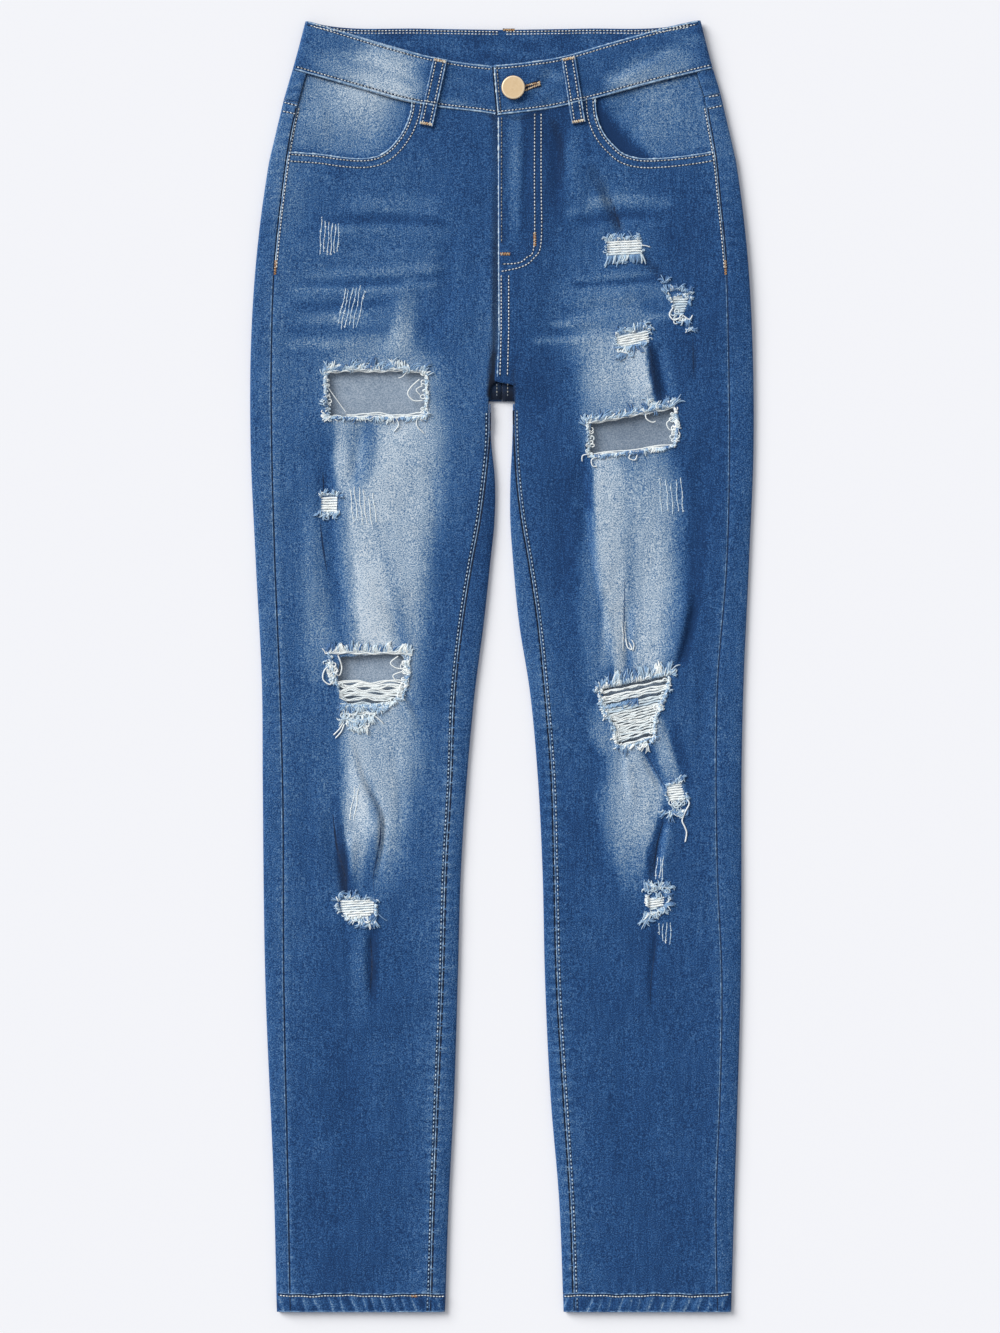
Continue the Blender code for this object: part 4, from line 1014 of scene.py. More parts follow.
class Shader:
    """Builds one material's nodes; sockets are given as values or as other nodes' outputs."""

    def __init__(self, name):
        self.material = bpy.data.materials.new(name)
        self.material.use_nodes = True
        self.tree = self.material.node_tree
        self.surface = self.tree.nodes["Principled BSDF"]

    def node(self, kind, inputs=(), **settings):
        made = self.tree.nodes.new(kind)
        for key, value in settings.items():
            setattr(made, key, value)
        for key, value in dict(inputs).items():
            self.put(made.inputs[key], value)
        return made

    def put(self, socket, value):
        if isinstance(value, bpy.types.NodeSocket):
            self.tree.links.new(value, socket)
        else:
            socket.default_value = value

    def maths(self, operation, *values):
        return self.node("ShaderNodeMath", enumerate(values), operation=operation).outputs[0]

    def scaled(self, value, factor, plus=0):
        """The value times a factor, plus another value."""
        return self.maths("MULTIPLY_ADD", value, factor, plus)

    def centred(self, value):
        """A value from 0 to 1 moved to run from -0.5 to 0.5."""
        return self.maths("SUBTRACT", value, 0.5)

    def position(self, across=1, y=1):
        """Place on the object in millimetres, scaled by axis."""
        place = self.node("ShaderNodeTexCoord").outputs["Object"]
        scale = (across / MM, y / MM, 1 / MM)
        return self.node("ShaderNodeVectorMath", {0: place, 1: scale}, operation="MULTIPLY").outputs[0]

    def noise(self, size, detail=2, across=1, y=1):
        """Noise from 0 to 1 whose marks are about `size` millimetres, longer on an axis scaled below 1."""
        inputs = {"Scale": 1 / size, "Detail": detail, "Vector": self.position(across, y)}
        return self.node("ShaderNodeTexNoise", inputs).outputs["Fac"]

    def twill(self, slope, pitch):
        """Diagonal ribs from 0 to 1, rising to the right for a slope above 0."""
        place = self.node("ShaderNodeSeparateXYZ", {0: self.position()})
        run = self.maths("SUBTRACT", place.outputs["Y"], self.maths("MULTIPLY", place.outputs["X"], slope))
        run = self.maths("ADD", run, self.maths("MULTIPLY", self.noise(6), 1.6))
        return self.scaled(self.maths("SINE", self.maths("MULTIPLY", run, math.tau / pitch)), 0.5, 0.5)

    def stored(self, name):
        return self.node("ShaderNodeAttribute", attribute_name=name).outputs["Fac"]

    def ramp(self, value, stops):
        """Colours by value, from a dictionary of display colours."""
        made = self.node("ShaderNodeValToRGB", {"Fac": value})
        elements = made.color_ramp.elements
        while len(elements) < len(stops):
            elements.new(0.5)
        for element, place in zip(elements, stops):
            element.position = place
        for element, colour in zip(elements, stops.values()):
            element.color = ink(*colour)
        return made.outputs["Color"]

    def mixed(self, share, first, second):
        return self.node("ShaderNodeMix", {0: share, 6: first, 7: second}, data_type="RGBA").outputs[2]

    def bump(self, height, distance, strength):
        made = self.node("ShaderNodeBump",
                         {"Height": height, "Strength": strength, "Distance": distance * MM})
        self.put(self.surface.inputs["Normal"], made.outputs["Normal"])

    def finish(self, colour, rough, sheen=0, metal=0, sheen_tint=(1, 1, 1, 1)):
        values = {
            "Base Color": colour, "Roughness": rough, "Metallic": metal, "Sheen Weight": sheen,
            "Sheen Roughness": 0.5, "Sheen Tint": sheen_tint, "Specular IOR Level": 0.5 if metal else 0.2,
        }
        for name, value in values.items():
            self.put(self.surface.inputs[name], value)
        return self.material


def denim_material():
    """Washed blue twill: warp-faced, with slubs, speckle and a bleach level stored on the mesh."""
    shader = Shader("denim")
    level = shader.stored("wash")
    cloud = shader.centred(shader.noise(16, 3))
    slub = shader.centred(shader.noise(1.3, 1, 1, 0.09))
    cross = shader.centred(shader.noise(1.2, 1, 0.14, 1))
    speck = shader.centred(shader.noise(0.85, 1))
    fleck = shader.centred(shader.noise(2.6, 2))
    rib = shader.twill(1, 0.95)
    grain = level
    for part, share in ((cloud, 0.06), (slub, 0.26), (cross, 0.07), (fleck, 0.1)):
        grain = shader.scaled(part, share, grain)
    rub = shader.scaled(level, 0.45, 0.3)
    grain = shader.scaled(shader.maths("MULTIPLY", speck, 3.3), rub, grain)
    grain = shader.scaled(shader.centred(rib), 0.2, grain)
    top = max(WASH_COLOURS)
    colour = shader.ramp(shader.maths("DIVIDE", grain, top), {
        place / top: colour for place, colour in WASH_COLOURS.items()})
    # Painted shade: darker towards this navy where the stored level is high
    colour = shader.mixed(shader.stored("deep"), colour, ink(20, 27, 42))
    shader.bump(shader.scaled(rib, 0.5, shader.maths("MULTIPLY", speck, 1.1)), 0.28, 0.8)
    return shader.finish(colour, 0.9, 0.12, sheen_tint=ink(190, 205, 225))


def wrong_side_material():
    """The pale wrong side of the cloth, where the undyed weft shows."""
    shader = Shader("denim_wrong_side")
    grain = shader.scaled(shader.noise(1, 1), 1.5, -0.75)
    grain = shader.scaled(shader.centred(shader.noise(9, 2)), 0.4, grain)
    rib = shader.centred(shader.twill(-1, 0.95))
    share = shader.maths("ADD", shader.scaled(rib, 0.3, grain), 0.5)
    colour = shader.ramp(share, {0: (108, 128, 152), 0.5: (154, 171, 190), 1: (196, 207, 219)})
    # Painted shade: darker towards this colour where the stored shade is high
    colour = shader.mixed(shader.stored("shade"), colour, ink(62, 76, 98))
    shader.bump(shader.maths("ADD", rib, grain), 0.25, 0.7)
    return shader.finish(colour, 0.92, 0.1)


def yarn_material(name, stops):
    """Twisted yarn, coloured by each strand's stored tint."""
    shader = Shader(name)
    tint = shader.scaled(shader.centred(shader.noise(0.9, 1)), 0.35, shader.stored("tint"))
    shader.bump(shader.twill(1.6, 0.6), 0.12, 0.6)
    return shader.finish(shader.ramp(tint, stops), 0.85, 0.15)


def zip_material():
    """Navy tape, with a metal tooth colour where the stored tint is high."""
    shader = Shader("zip_tape")
    tint = shader.stored("tint")
    weave = shader.scaled(shader.twill(0, 0.7), 0.12, shader.noise(0.8, 1))
    tape = shader.ramp(weave, {0.2: (18, 28, 52), 0.9: (38, 52, 84)})
    teeth = shader.ramp(shader.noise(0.6, 1), {0.2: (150, 122, 74), 0.9: (206, 178, 120)})
    shader.bump(weave, 0.1, 0.5)
    material = shader.finish(shader.mixed(tint, tape, teeth), 0.55)
    shader.put(shader.surface.inputs["Metallic"], tint)
    return material


def button_material():
    """Worn copper-gold tack metal, darker where the tint is low."""
    shader = Shader("button_metal")
    tint = shader.scaled(shader.centred(shader.noise(1.4, 3)), 0.12, shader.stored("tint"))
    colour = shader.ramp(tint, {
        0: (84, 58, 42), 0.4: (150, 112, 78), 0.75: (232, 200, 154), 1: (252, 234, 204)})
    shader.bump(shader.noise(0.5), 0.03, 0.4)
    return shader.finish(colour, shader.scaled(shader.noise(2), 0.15, 0.4), metal=0.3)


DENIM = denim_material()
WRONG_SIDE = wrong_side_material()
ZIP = zip_material()
METAL = button_material()
RAW_EDGE, THREAD, ORANGE, PALE_THREAD, YARN, GROOVE_SHADE = (
    yarn_material(name, stops) for name, stops in YARN_COLOURS.items())
CLOTH_MATERIALS = (DENIM, WRONG_SIDE, RAW_EDGE)

# ---------------------------------------------------------------- cloth pieces


def finished(piece, thickness, **levels):
    """Stores the levels that the cloth's materials read, and puts a wall round the middle surface.

    The wall's inner face takes the second material and its rim the third.
    """
    for name, values in levels.items():
        attribute(piece, name, values)
    attribute(piece, "tint", np.full(len(piece.data.vertices), 0.5))
    if thickness:
        wall = piece.modifiers.new("wall", "SOLIDIFY")
        wall.thickness = thickness * MM
        wall.offset = 0
        last = len(piece.data.materials) - 1
        wall.material_offset = min(1, last)
        wall.material_offset_rim = min(2, last)
    return piece


def read_back(piece, side):
    """Across, y and height of the piece's points, once it is turned face up."""
    face_up(piece)
    x, y, height = corners(piece)
    return SIGN[side] * x, y, height


def spread(edge_steps, width, step):
    """Shares from 0 to 1 across a piece, with close ones at both ends."""
    near = np.array(edge_steps) / width
    count = max(3, int(round((width - 2 * edge_steps[-1]) / step)))
    return np.concatenate([near, np.linspace(near[-1], 1 - near[-1], count + 1)[1:-1], 1 - near[::-1]])


def edge_dip(distance):
    """Cloth turned under at a seam drops a little into it."""
    return 0.16 * bell(distance - 3, 2.2) - 0.42 * bell(distance, 0.9)


def torn(outline, seed):
    """The outline with an uneven torn edge."""
    path = evenly(curve([*outline, outline[0]]), 2.2)
    jitter = np.random.default_rng(seed).normal(0, 0.5, path.shape)
    return (path + (jitter + np.roll(jitter, 1, axis=0)) / 1.5)[:-1]


RIP_EDGES = {side: [torn(outline, seed) for seed, outline in RIPS[side].items()] for side in SIDES}


def panel_across(side, share, y):
    """The across value at this share of the way from a front panel's outseam to its inner edge."""
    outer = outseam(side, y) - SEAM / 2
    inner = front_inner(side, y)
    underlap = FLY_UNDERLAP * blend(CROTCH_Y, CROTCH_Y + 6, y) if side == "right" else 0
    inner = np.where(y > SPLIT_Y, inner - underlap, inner + SEAM / 2)
    return outer + (inner - outer) * share


def front_rows(side, share):
    """The y of a front panel's points: level rows below the hip, and a fan from there to the waistband."""
    low = np.concatenate([np.arange(HIP_TOP, 226, -FRONT_STEP), np.arange(226, 204, -1.1),
                          np.arange(204, HEM_Y + 8, -FRONT_STEP),
                          np.linspace(HEM_Y + 8, HEM_Y + SEAM / 2, 9)])
    t = np.linspace(0, 1, 22)[:-1, None]
    fan = np.full((len(t), share.shape[1]), 440)
    for _ in range(4):
        top = smooth(BAND_FRONT_FOOT[side], 1, panel_across(side, share, fan)) - BAND_SEAM
        fan = top + (HIP_TOP - top) * t
    return np.concatenate([fan, np.broadcast_to(low[:, None], (len(low), share.shape[1]))])


def front_panel(side):
    share = spread((0, 0.7, 1.5, 2.6, 4, 5.8, 8), 165, FRONT_STEP)[None, :]
    y = front_rows(side, share)
    across = panel_across(side, share, y)
    from_seam = np.minimum(*(np.abs(across - panel_across(side, end, y)) for end in (0, 1)))
    height = top_height(side, across, y) + edge_dip(from_seam) * blend(470, 430, y)
    scoop = np.concatenate([curve(POCKET_EDGE[side]),
                            [(190, 403), (190, 485), (POCKET_EDGE[side][0][0], 485)]])
    far = 50.0
    keep = np.full(across.shape, far)
    zone = y > 385
    keep[zone] = outline_distance(across[zone], y[zone], scoop)
    height = height - 0.3 * bell(np.minimum(keep, far), 1.1)
    for ring in RIP_EDGES[side]:
        zone = around(across, y, ring, 6)
        keep[zone] = np.minimum(keep[zone], outline_distance(across[zone], y[zone], ring))
    piece = clipped("front_" + side + "_cloth", placed(side, across, y, height), keep, CLOTH_MATERIALS)
    across, y, _ = read_back(piece, side)
    level = wash(side, across, y)
    level = level + 0.09 * bell(across - inseam(side, y), 5) * blend(60, -40, y)
    level = level + 0.09 * bell(across - outseam(side, y), 4) * blend(330, 250, y)
    for ring in RIP_EDGES[side]:
        level = level + 0.22 * bell(outline_distance(across, y, ring), 3.2)
    for outline in WORN_PATCHES[side].values():
        middle_a, middle_y = np.mean(outline, axis=0)
        zone = np.hypot(across - middle_a, y - middle_y) < 40
        distance = outline_distance(across[zone], y[zone], outline)
        level[zone] += (0.9 - level[zone]) * blend(0.5, -1, distance)
        level[zone] += 0.12 * bell(distance, 2.5)
    # The top layer's painted shade comes from the shade strokes
    return finished(piece, CLOTH, wash=level, deep=painted(0, across, y, PAINTED_SHADES[side]))


def outer_roll(side, y):
    """(across, height) columns from the outseam over the side fold to the level underside."""
    edge, under = outer_edge(side, y), under_height(y)
    seam = outseam(side, y) + SEAM / 2
    strip = edge - seam
    distances = [strip - near for near in (0, 0.7, 1.6, 3)]
    distances += [2.4 + (strip - 5.4) * share for share in (0.8, 0.6, 0.4, 0.2, 0)] + [1.1, 0.4, 0]
    across = np.concatenate([edge - d for d in distances], axis=1)
    height = top_height(side, across, y) + edge_dip(across - seam)
    middle = height[:, -1:]
    fall = [(edge - d, middle - (middle - under) * quarter(d, UNDER_ROUND)) for d in UNDER_STEPS]
    return np.concatenate([across] + [a for a, _ in fall], axis=1), np.concatenate(
        [height] + [h for _, h in fall], axis=1)


def under_run(side, y, end):
    """(across, height) columns along the underside from the outer roll to `end`."""
    start = outer_edge(side, y) - UNDER_ROUND
    across = start + (end - start) * np.arange(1, UNDER_COLUMNS + 1)[None, :] / UNDER_COLUMNS
    return across, np.broadcast_to(under_height(y), across.shape)


def inner_roll(side, y):
    """(across, height) columns from the underside over the inner side fold to the inseam."""
    edge, under = inner_edge(side, y), under_height(y)
    strip = np.maximum(inseam(side, y) - edge - SEAM, 0.5)
    shares = (0, 0.04, 0.1, 0.22, 0.36, 0.5, 0.64, 0.78, 0.9, 1)
    across = np.concatenate([edge + strip * share for share in shares], axis=1)
    height = top_height(side, across, y) + edge_dip(edge + strip - across) * blend(1, 6, strip)
    middle = height[:, :1]
    rise = [(edge + d, middle - (middle - under) * quarter(d, UNDER_ROUND)) for d in UNDER_STEPS[-2::-1]]
    return np.concatenate([a for a, _ in rise] + [across], axis=1), np.concatenate(
        [h for _, h in rise] + [height], axis=1)


def joined(parts):
    """(across, height) of a section from its parts' columns."""
    return tuple(np.concatenate(columns, axis=1) for columns in zip(*parts))


def split_across(side):
    return float(inner_edge(side, SPLIT_Y)) + UNDER_ROUND


def hip_section(side, y):
    """Section of yoke or back panel above the crotch, from outseam to centre-back seam."""
    split = split_across(side)
    centre = np.broadcast_to([[split * 0.66, split * 0.33, SEAM / 2]], (len(y), 3))
    return joined([outer_roll(side, y), under_run(side, y, split),
                   (centre, np.broadcast_to(under_height(y), centre.shape))])


def leg_section(side, y):
    """Section of the back panel below the crotch, from outseam round to inseam."""
    return joined([outer_roll(side, y), under_run(side, y, inner_edge(side, y) + UNDER_ROUND),
                   inner_roll(side, y)])


def hip_row(side, y):
    """Across and height of a hip section's points when each has a y of its own."""
    across, height = hip_section(side, y[:, None])
    return np.diagonal(across), np.diagonal(height)


def slanted(side, y_of, start):
    """A row of a hip section whose y depends on each point's own across value."""
    columns = hip_section(side, np.array([[start]]))[0].shape[1]
    rows = np.full(columns, start)
    for _ in range(4):
        across, height = hip_row(side, rows)
        rows = y_of(across)
    return placed(side, across, rows, height)


def back_wash(side, across, y, height):
    """Bleach level of the back: the strips that show match the front, and the underside is plainer."""
    seat = 0.18 * bell(across - 95, 60) * bell(y - 250, 110)
    knee = 0.14 * bell(across - 105, 40) * bell(y + 10, 90)
    under = 0.1 + 0.5 * base_wash(side, across, y) + seat + knee + 0.04 * ripple(across, y, 50, 51)
    above = wash(side, across, y)
    above = above + 0.05 * bell(across - outseam(side, y), 5)
    above = above + 0.09 * bell(across - inseam(side, y), 5) * blend(60, -40, y)
    return under + (above - under) * blend(1.5, 3.5, height)


def finished_back(piece, side):
    across, y, height = read_back(piece, side)
    # Painted shade inside the crotch, and on the wrong side under the thigh window
    in_crotch = blend(11.5, 10.5, np.abs(across)) * blend(204, 208.5, y) * blend(228, 224, y)
    window = np.hypot((across - 100) / 42, (y - 190) / 26)
    return finished(piece, CLOTH, wash=back_wash(side, across, y, height),
                    deep=0.96 * in_crotch * blend(1.4, 2.2, height),
                    shade=WINDOW_SHADE[side] * np.exp(-(window ** 4)))


def yoke_seam_y(side, across, gap):
    side_y = YOKE_SIDE_Y[side]
    edge = float(outer_edge(side, side_y))
    return YOKE_CENTRE_Y + (side_y - YOKE_CENTRE_Y) * np.minimum(across / edge, 1) + gap


def crotch_turn(row, side):
    """The back's edge from the underside up and over behind the front's crotch, from its lowest row."""
    under = float(under_height(SPLIT_Y))
    level = float(top_height(side, split_across(side), SPLIT_Y + 6)) - LIE - 0.5
    middle = (under + level) / 2
    turn = [row]
    for d, height in (
        (0.9, middle - (middle - under) * float(quarter(0.9, UNDER_ROUND))),
        (0, middle),
        (1.2, middle + (level - middle) * float(quarter(1.2, 4))),
        (5, level),
        (CROTCH_Y - SPLIT_Y + 3, level),
    ):
        row = row.copy()
        row[:, 1], row[:, 2] = (SPLIT_Y + CLOTH / 2 + d) * MM, height * MM
        turn.append(row)
    return np.array(turn)


def back_panel(side):
    top = slanted(side, lambda across: yoke_seam_y(side, across, -SEAM / 2), 400)
    rows = np.concatenate([np.arange(396, 226, -3),
                           [224, CROTCH_Y, 219, 215, SPLIT_Y + UNDER_ROUND]])[:, None]
    hip_across, hip_height = hip_section(side, rows)
    hip = placed(side, hip_across, rows, hip_height)
    fan = [top + (hip[0] - top) * share for share in np.linspace(0, 1, 18)[:-1]]
    hip = np.concatenate([fan, hip])
    rows = np.concatenate([[205], np.arange(202, HEM_Y + 8, -2.4),
                           np.linspace(HEM_Y + 8, HEM_Y + SEAM / 2, 8)])
    leg_across, leg_height = leg_section(side, rows[:, None])
    leg = placed(side, leg_across, rows[:, None], leg_height)
    shared = outer_roll(side, rows[:1, None])[0].shape[1] + UNDER_COLUMNS
    join = np.stack([hip[-1][:shared], leg[0][:shared]])
    grids = [hip, join, leg, crotch_turn(hip[-1][shared - 1:], side)]
    return finished_back(welded("back_" + side + "_cloth", grids, CLOTH_MATERIALS), side)


def yoke(side):
    foot = slanted(side, lambda across: yoke_seam_y(side, across, SEAM / 2), 430)
    on_top = outer_roll(side, np.array([[440]]))[0].shape[1] - 6

    def band_y(across):
        front, back = smooth(BAND_FRONT_FOOT[side], 1, across), smooth(BAND_BACK_FOOT, 1, across)
        return np.where(np.arange(len(across)) < on_top, front, back) - BAND_SEAM

    top = slanted(side, band_y, 455)
    rows = []
    for share in np.linspace(0, 1, 16):
        y = (top[:, 1] + (foot[:, 1] - top[:, 1]) * share) / MM
        across, height = hip_row(side, y)
        rows.append(placed(side, across, y, height))
    return finished_back(welded("yoke_" + side + "_cloth", [np.array(rows)], CLOTH_MATERIALS), side)


def pocket_facing(side):
    share = np.linspace(0, 1, 50)[:, None]
    columns = np.linspace(0, 1, 56)[None, :]
    y = np.full((50, 56), 430)
    for _ in range(4):
        outer = outseam(side, y) - SEAM / 2
        across = outer + (FACING_INNER - outer) * columns
        top = smooth(BAND_FRONT_FOOT[side], 1, across) - BAND_SEAM
        y = top + (FACING_FOOT_Y - top) * share
    height = top_height(side, across, y) - LIE
    extra = creased(across, y, FACING_CREASES[side]) * blend(150, 130, across)
    height = np.minimum(height + extra - 0.15, height + 0.25)
    piece = welded("pocket_facing_" + side + "_cloth", [placed(side, across, y, height)], CLOTH_MATERIALS)
    across, y, _ = read_back(piece, side)
    level = painted(0.3, across, y, FACING_FADES[side])
    from_scoop = nearest(across, y, curve(POCKET_EDGE[side]))[0]
    # Painted shadow darkens the facing along the pocket's edge
    return finished(piece, CLOTH, wash=level - 0.2 * bell(from_scoop, 3))


def waistband():
    """One strip from the right front's lapped end, round the back, to the left front's end."""
    middle = (BAND_UNDER + BAND_TOP) / 2
    t = np.concatenate([[0, 0.02, 0.04, 0.065, 0.1], np.linspace(0.14, 0.86, 16),
                        [0.9, 0.935, 0.96, 0.98, 1]])[:, None]

    def side_fold(side):
        top, foot = BAND_SIDE[side]
        return top + (foot - top) * t - BAND / 2

    def front(side):
        edge = side_fold(side)
        lap_top, lap_foot = LAP_END[side]
        lap = lap_top + (lap_foot - lap_top) * t
        spaced = lap + (edge * 0.93 - lap) * np.linspace(0, 1, 84)[None, :]
        across = np.concatenate([spaced] + [edge - d for d in (6, 3.6, 2.4, 1.2, 0.5, 0)], axis=1)
        top, foot = smooth(BAND_FRONT_TOP[side], 1, across), smooth(BAND_FRONT_FOOT[side], 1, across)
        y = (1 - t) * top + t * foot
        level = band_height(side, across, y)
        from_edge = np.minimum(t, 1 - t) * (top - foot)
        beat = np.sin(math.tau * (across / 7.5 + 0.3 * np.sin(across / 13)))
        level = level - 0.34 * bell(from_edge - 2.3, 0.9) + 0.22 * beat * bell(from_edge - 4.2, 2.6)
        level = level + 0.3 * blend(2, 8, from_edge) - 0.5 * bell(from_edge, 0.5)
        height = middle + (level - middle) * quarter(edge - across, BAND_ROUND)
        return placed(side, across, y, height)

    def back(side):
        edge = side_fold(side)
        across = np.concatenate([edge - d for d in (0.4, 1.2, 2.4)]
                                + [edge * s for s in np.linspace(0.95, 0.02, 50)], axis=1)
        y = (1 - t) * smooth(BAND_BACK_TOP, 1, across) + t * smooth(BAND_BACK_FOOT, 1, across)
        height = middle - (middle - BAND_UNDER) * quarter(edge - across, 2.4)
        return placed(side, across, y, height)

    grid = [front("right"), back("right"), back("left")[:, ::-1], front("left")[:, ::-1]]
    piece = welded("waistband_cloth", [np.concatenate(grid, axis=1)], (DENIM, DENIM, DENIM))
    x, y, height = read_back(piece, "left")
    level = np.zeros(len(x))
    for side in SIDES:
        own = SIGN[side] * x > (6 if side == "right" else -6.5)
        across, own_y = SIGN[side] * x[own], y[own]
        rub = np.minimum(*(np.abs(own_y - smooth(rows[side], 1, across))
                           for rows in (BAND_FRONT_TOP, BAND_FRONT_FOOT)))
        level[own] = painted(0.17, across, own_y, BAND_FADES[side]) + 0.1 * bell(rub, 1.2)
    level = np.where(height < 4, 0.12, level) + 0.05 * ripple(x * 0.5, y * 2, 20, 61)
    return finished(piece, BAND, wash=level)


def front_loop(side):
    """A strip on the band and, past its foot, on the panel."""
    top_a, top_y, foot_a, foot_y = FRONT_LOOPS[side]
    length = math.hypot(foot_a - top_a, top_y - foot_y)
    share = np.linspace(0, 1, 46)[:, None]
    half = np.array([0.06, 0.18, 0.3, 0.4, 0.47, 0.5])
    aside = np.concatenate([-half[::-1], half])[None, :] * LOOP_WIDTH
    across = top_a + (foot_a - top_a) * share + aside * (top_y - foot_y) / length
    y = top_y + (foot_y - top_y) * share + aside * (foot_a - top_a) / length
    on_band = band_front_height(side, across) + BAND / 2 + 0.35
    on_panel = top_height(side, across, y) + CLOTH / 2
    drop = blend(2, 9, smooth(BAND_FRONT_FOOT[side], 1, across) - y)
    carried = np.maximum(on_band, on_panel) * (1 - drop) + on_panel * drop
    height = carried + SEAM + 0.1 + LOOP / 2 + 0.25 * ripple(across, y, 14, 71)
    height = height - 0.3 * bell(np.abs(aside) - 2.8, 0.8) - 0.35 * (np.abs(aside) > 5.1)
    piece = welded("belt_loop_front_" + side + "_cloth", [placed(side, across, y, height)],
                   (DENIM, DENIM, DENIM))
    x, y, _ = read_back(piece, "left")
    return finished(piece, LOOP, wash=0.1 + 0.1 * ripple(x, y, 9, 72 + SIGN[side]))


def slab(name, outline, level):
    """A flat piece of cloth under the garment, with a rounded edge."""
    outline = np.array(outline, float)
    centre = outline.mean(axis=0)
    ring = evenly([*outline, outline[0]], 3)[:-1]
    rings = []
    for share, height in ((0, 0), (0.35, 0), (0.7, 0), (0.93, 0), (0.985, 0.1), (1, 0.35),
                          (1, CLOTH), (0.9, CLOTH), (0.5, CLOTH), (0, CLOTH)):
        rings.append(np.column_stack([centre + (ring - centre) * share, np.full(len(ring), height)]))
    piece = welded(name + "_cloth", [np.array(rings) * MM], (DENIM,), closed=True)
    x, y, _ = corners(piece)
    return finished(piece, None, wash=level + 0.06 * ripple(x, y, 18, 81))


def hem(side):
    """The turned end of a leg: a flat ring under and over both layers, roped by its stitching."""
    y = np.linspace(HEM_Y - SEAM / 2, FOOT_Y, 15)[:, None]
    doubled = (BAND - CLOTH) / 2
    outer, inner = outer_edge(side, y) - doubled, inner_edge(side, y) + doubled
    under, level = BAND / 2, along(LEVELS, 2, y) + LEG_CROWN / 2 - doubled
    middle = (under + level) / 2
    over = [(d, middle + (level - middle) * quarter(d, TOP_ROUND))
            for d in (0, 0.5, 1.2, 2.4, 4, 6, 9, 12.5, 16)]
    beneath = [(d, middle - (middle - under) * quarter(d, UNDER_ROUND)) for d in UNDER_STEPS]
    flat = over[-1][0]
    parts = [(outer - d, height) for d, height in over]
    parts += [(outer - flat + (inner + 2 * flat - outer) * s, level) for s in np.linspace(0, 1, 90)[1:-1]]
    parts += [(inner + d, height) for d, height in over[::-1] + beneath]
    parts += [(inner + UNDER_ROUND + (outer - inner - 2 * UNDER_ROUND) * s, under)
              for s in np.linspace(0, 1, 40)[1:-1]]
    parts += [(outer - d, height) for d, height in beneath[::-1]]
    across, height = joined([[np.broadcast_to(column, y.shape) for column in part] for part in parts])
    top = (height > 3).astype(float)
    from_seam = HEM_Y - y
    rope = np.sin(math.tau * ((across + 0.5 * from_seam) / 9 + 0.25 * np.sin(across / 15)))
    height = height + top * 0.3 * rope * blend(0.3, 3, from_seam)
    height = height - top * (0.45 * bell(from_seam, 0.7) + 0.3 * bell(from_seam - 12.9, 1))
    piece = welded("hem_" + side + "_cloth", [placed(side, across, y, height)], (DENIM, WRONG_SIDE, DENIM),
                   closed=True)
    across, y, _ = read_back(piece, side)
    turn = math.tau * ((across + 0.35 * (HEM_Y - y)) / 8.6 + 0.25 * np.sin(across / 15)
                       + 0.12 * np.sin(across / 4.1))
    streak = np.exp(-((1 - np.cos(turn)) / 0.16)) * blend(HEM_Y - 1, HEM_Y - 4, y)
    level = 0.1 + 0.06 * np.cos(turn + 1.2) + 0.36 * streak
    level = level + 0.06 * ripple(across, y, 12, 91) + 0.16 * blend(FOOT_Y + 1.6, FOOT_Y + 0.4, y)
    return finished(piece, BAND, wash=level)


def fly_zip():
    """Two tapes, their meshed teeth, and a closed slider at the top, hidden under the fly's lap."""
    foot, head = ZIP_Y
    points, faces, tints = [], [], []

    def block(x, y, z, size, tint):
        start = len(points)
        for dz in (-0.5, 0.5):
            pinch = 0.8 if dz > 0 else 1
            for dx, dy in ((-0.5, -0.5), (0.5, -0.5), (0.5, 0.5), (-0.5, 0.5)):
                points.append((x + dx * size[0] * pinch, y + dy * size[1] * pinch, z + dz * size[2]))
                tints.append(tint)
        for face in ((3, 2, 1, 0), (4, 5, 6, 7), (0, 1, 5, 4), (1, 2, 6, 5), (2, 3, 7, 6), (3, 0, 4, 7)):
            faces.append([start + k for k in face])

    for hand in (-1, 1):
        length = (head - foot) / 24
        for k in range(24):
            block(ZIP_X + hand * 6.6, foot + length * (k + 0.5), 3.8, (12.6, length, 0.6), 0)
        for k in range(110):
            y = foot + 3 + k * 1.5 + (0.75 if hand > 0 else 0)
            block(ZIP_X + hand * 0.8, y, 4.35, (2.4, 0.8, 0.7), 1)
    block(ZIP_X, head - 9, 4.4, (6, 8, 0.6), 1)
    block(ZIP_X, head - 16, 4.5, (3.4, 12, 0.4), 1)
    piece = made_object("fly_zip_tape", np.array(points) * MM, faces, [ZIP])
    piece.data.shade_flat()
    attribute(piece, "tint", tints)
    return piece


def waist_button():
    """A tack button with a raised rim, a groove and a flat, slightly dented face."""
    turn = np.arange(BUTTON_SIDES) * math.tau / BUTTON_SIDES
    rows, tints = [], []
    for radius, height, tint in BUTTON_PROFILE:
        dent = 0.02 * np.cos(3 * turn + 0.6) * (1 < radius < 6)
        rows.append(np.column_stack([radius * np.cos(turn), radius * np.sin(turn), height + dent]))
        tints += [tint] * BUTTON_SIDES
    grid = np.array(rows)
    x, y, height = (grid[:, :, k] for k in (0, 1, 2))
    grid[:, :, 2] = height + 0.05 * (height > 1) * (x * 0.2 + y * 0.4)
    grid = grid + [*BUTTON_AT, BAND_LAP_OVER + BAND / 2 + SEAM]
    faces = grid_faces(len(rows), BUTTON_SIDES, closed=True)
    piece = made_object("waist_button_metal", grid * MM, faces, [METAL])
    attribute(piece, "tint", tints)
    face_up(piece)
    return piece


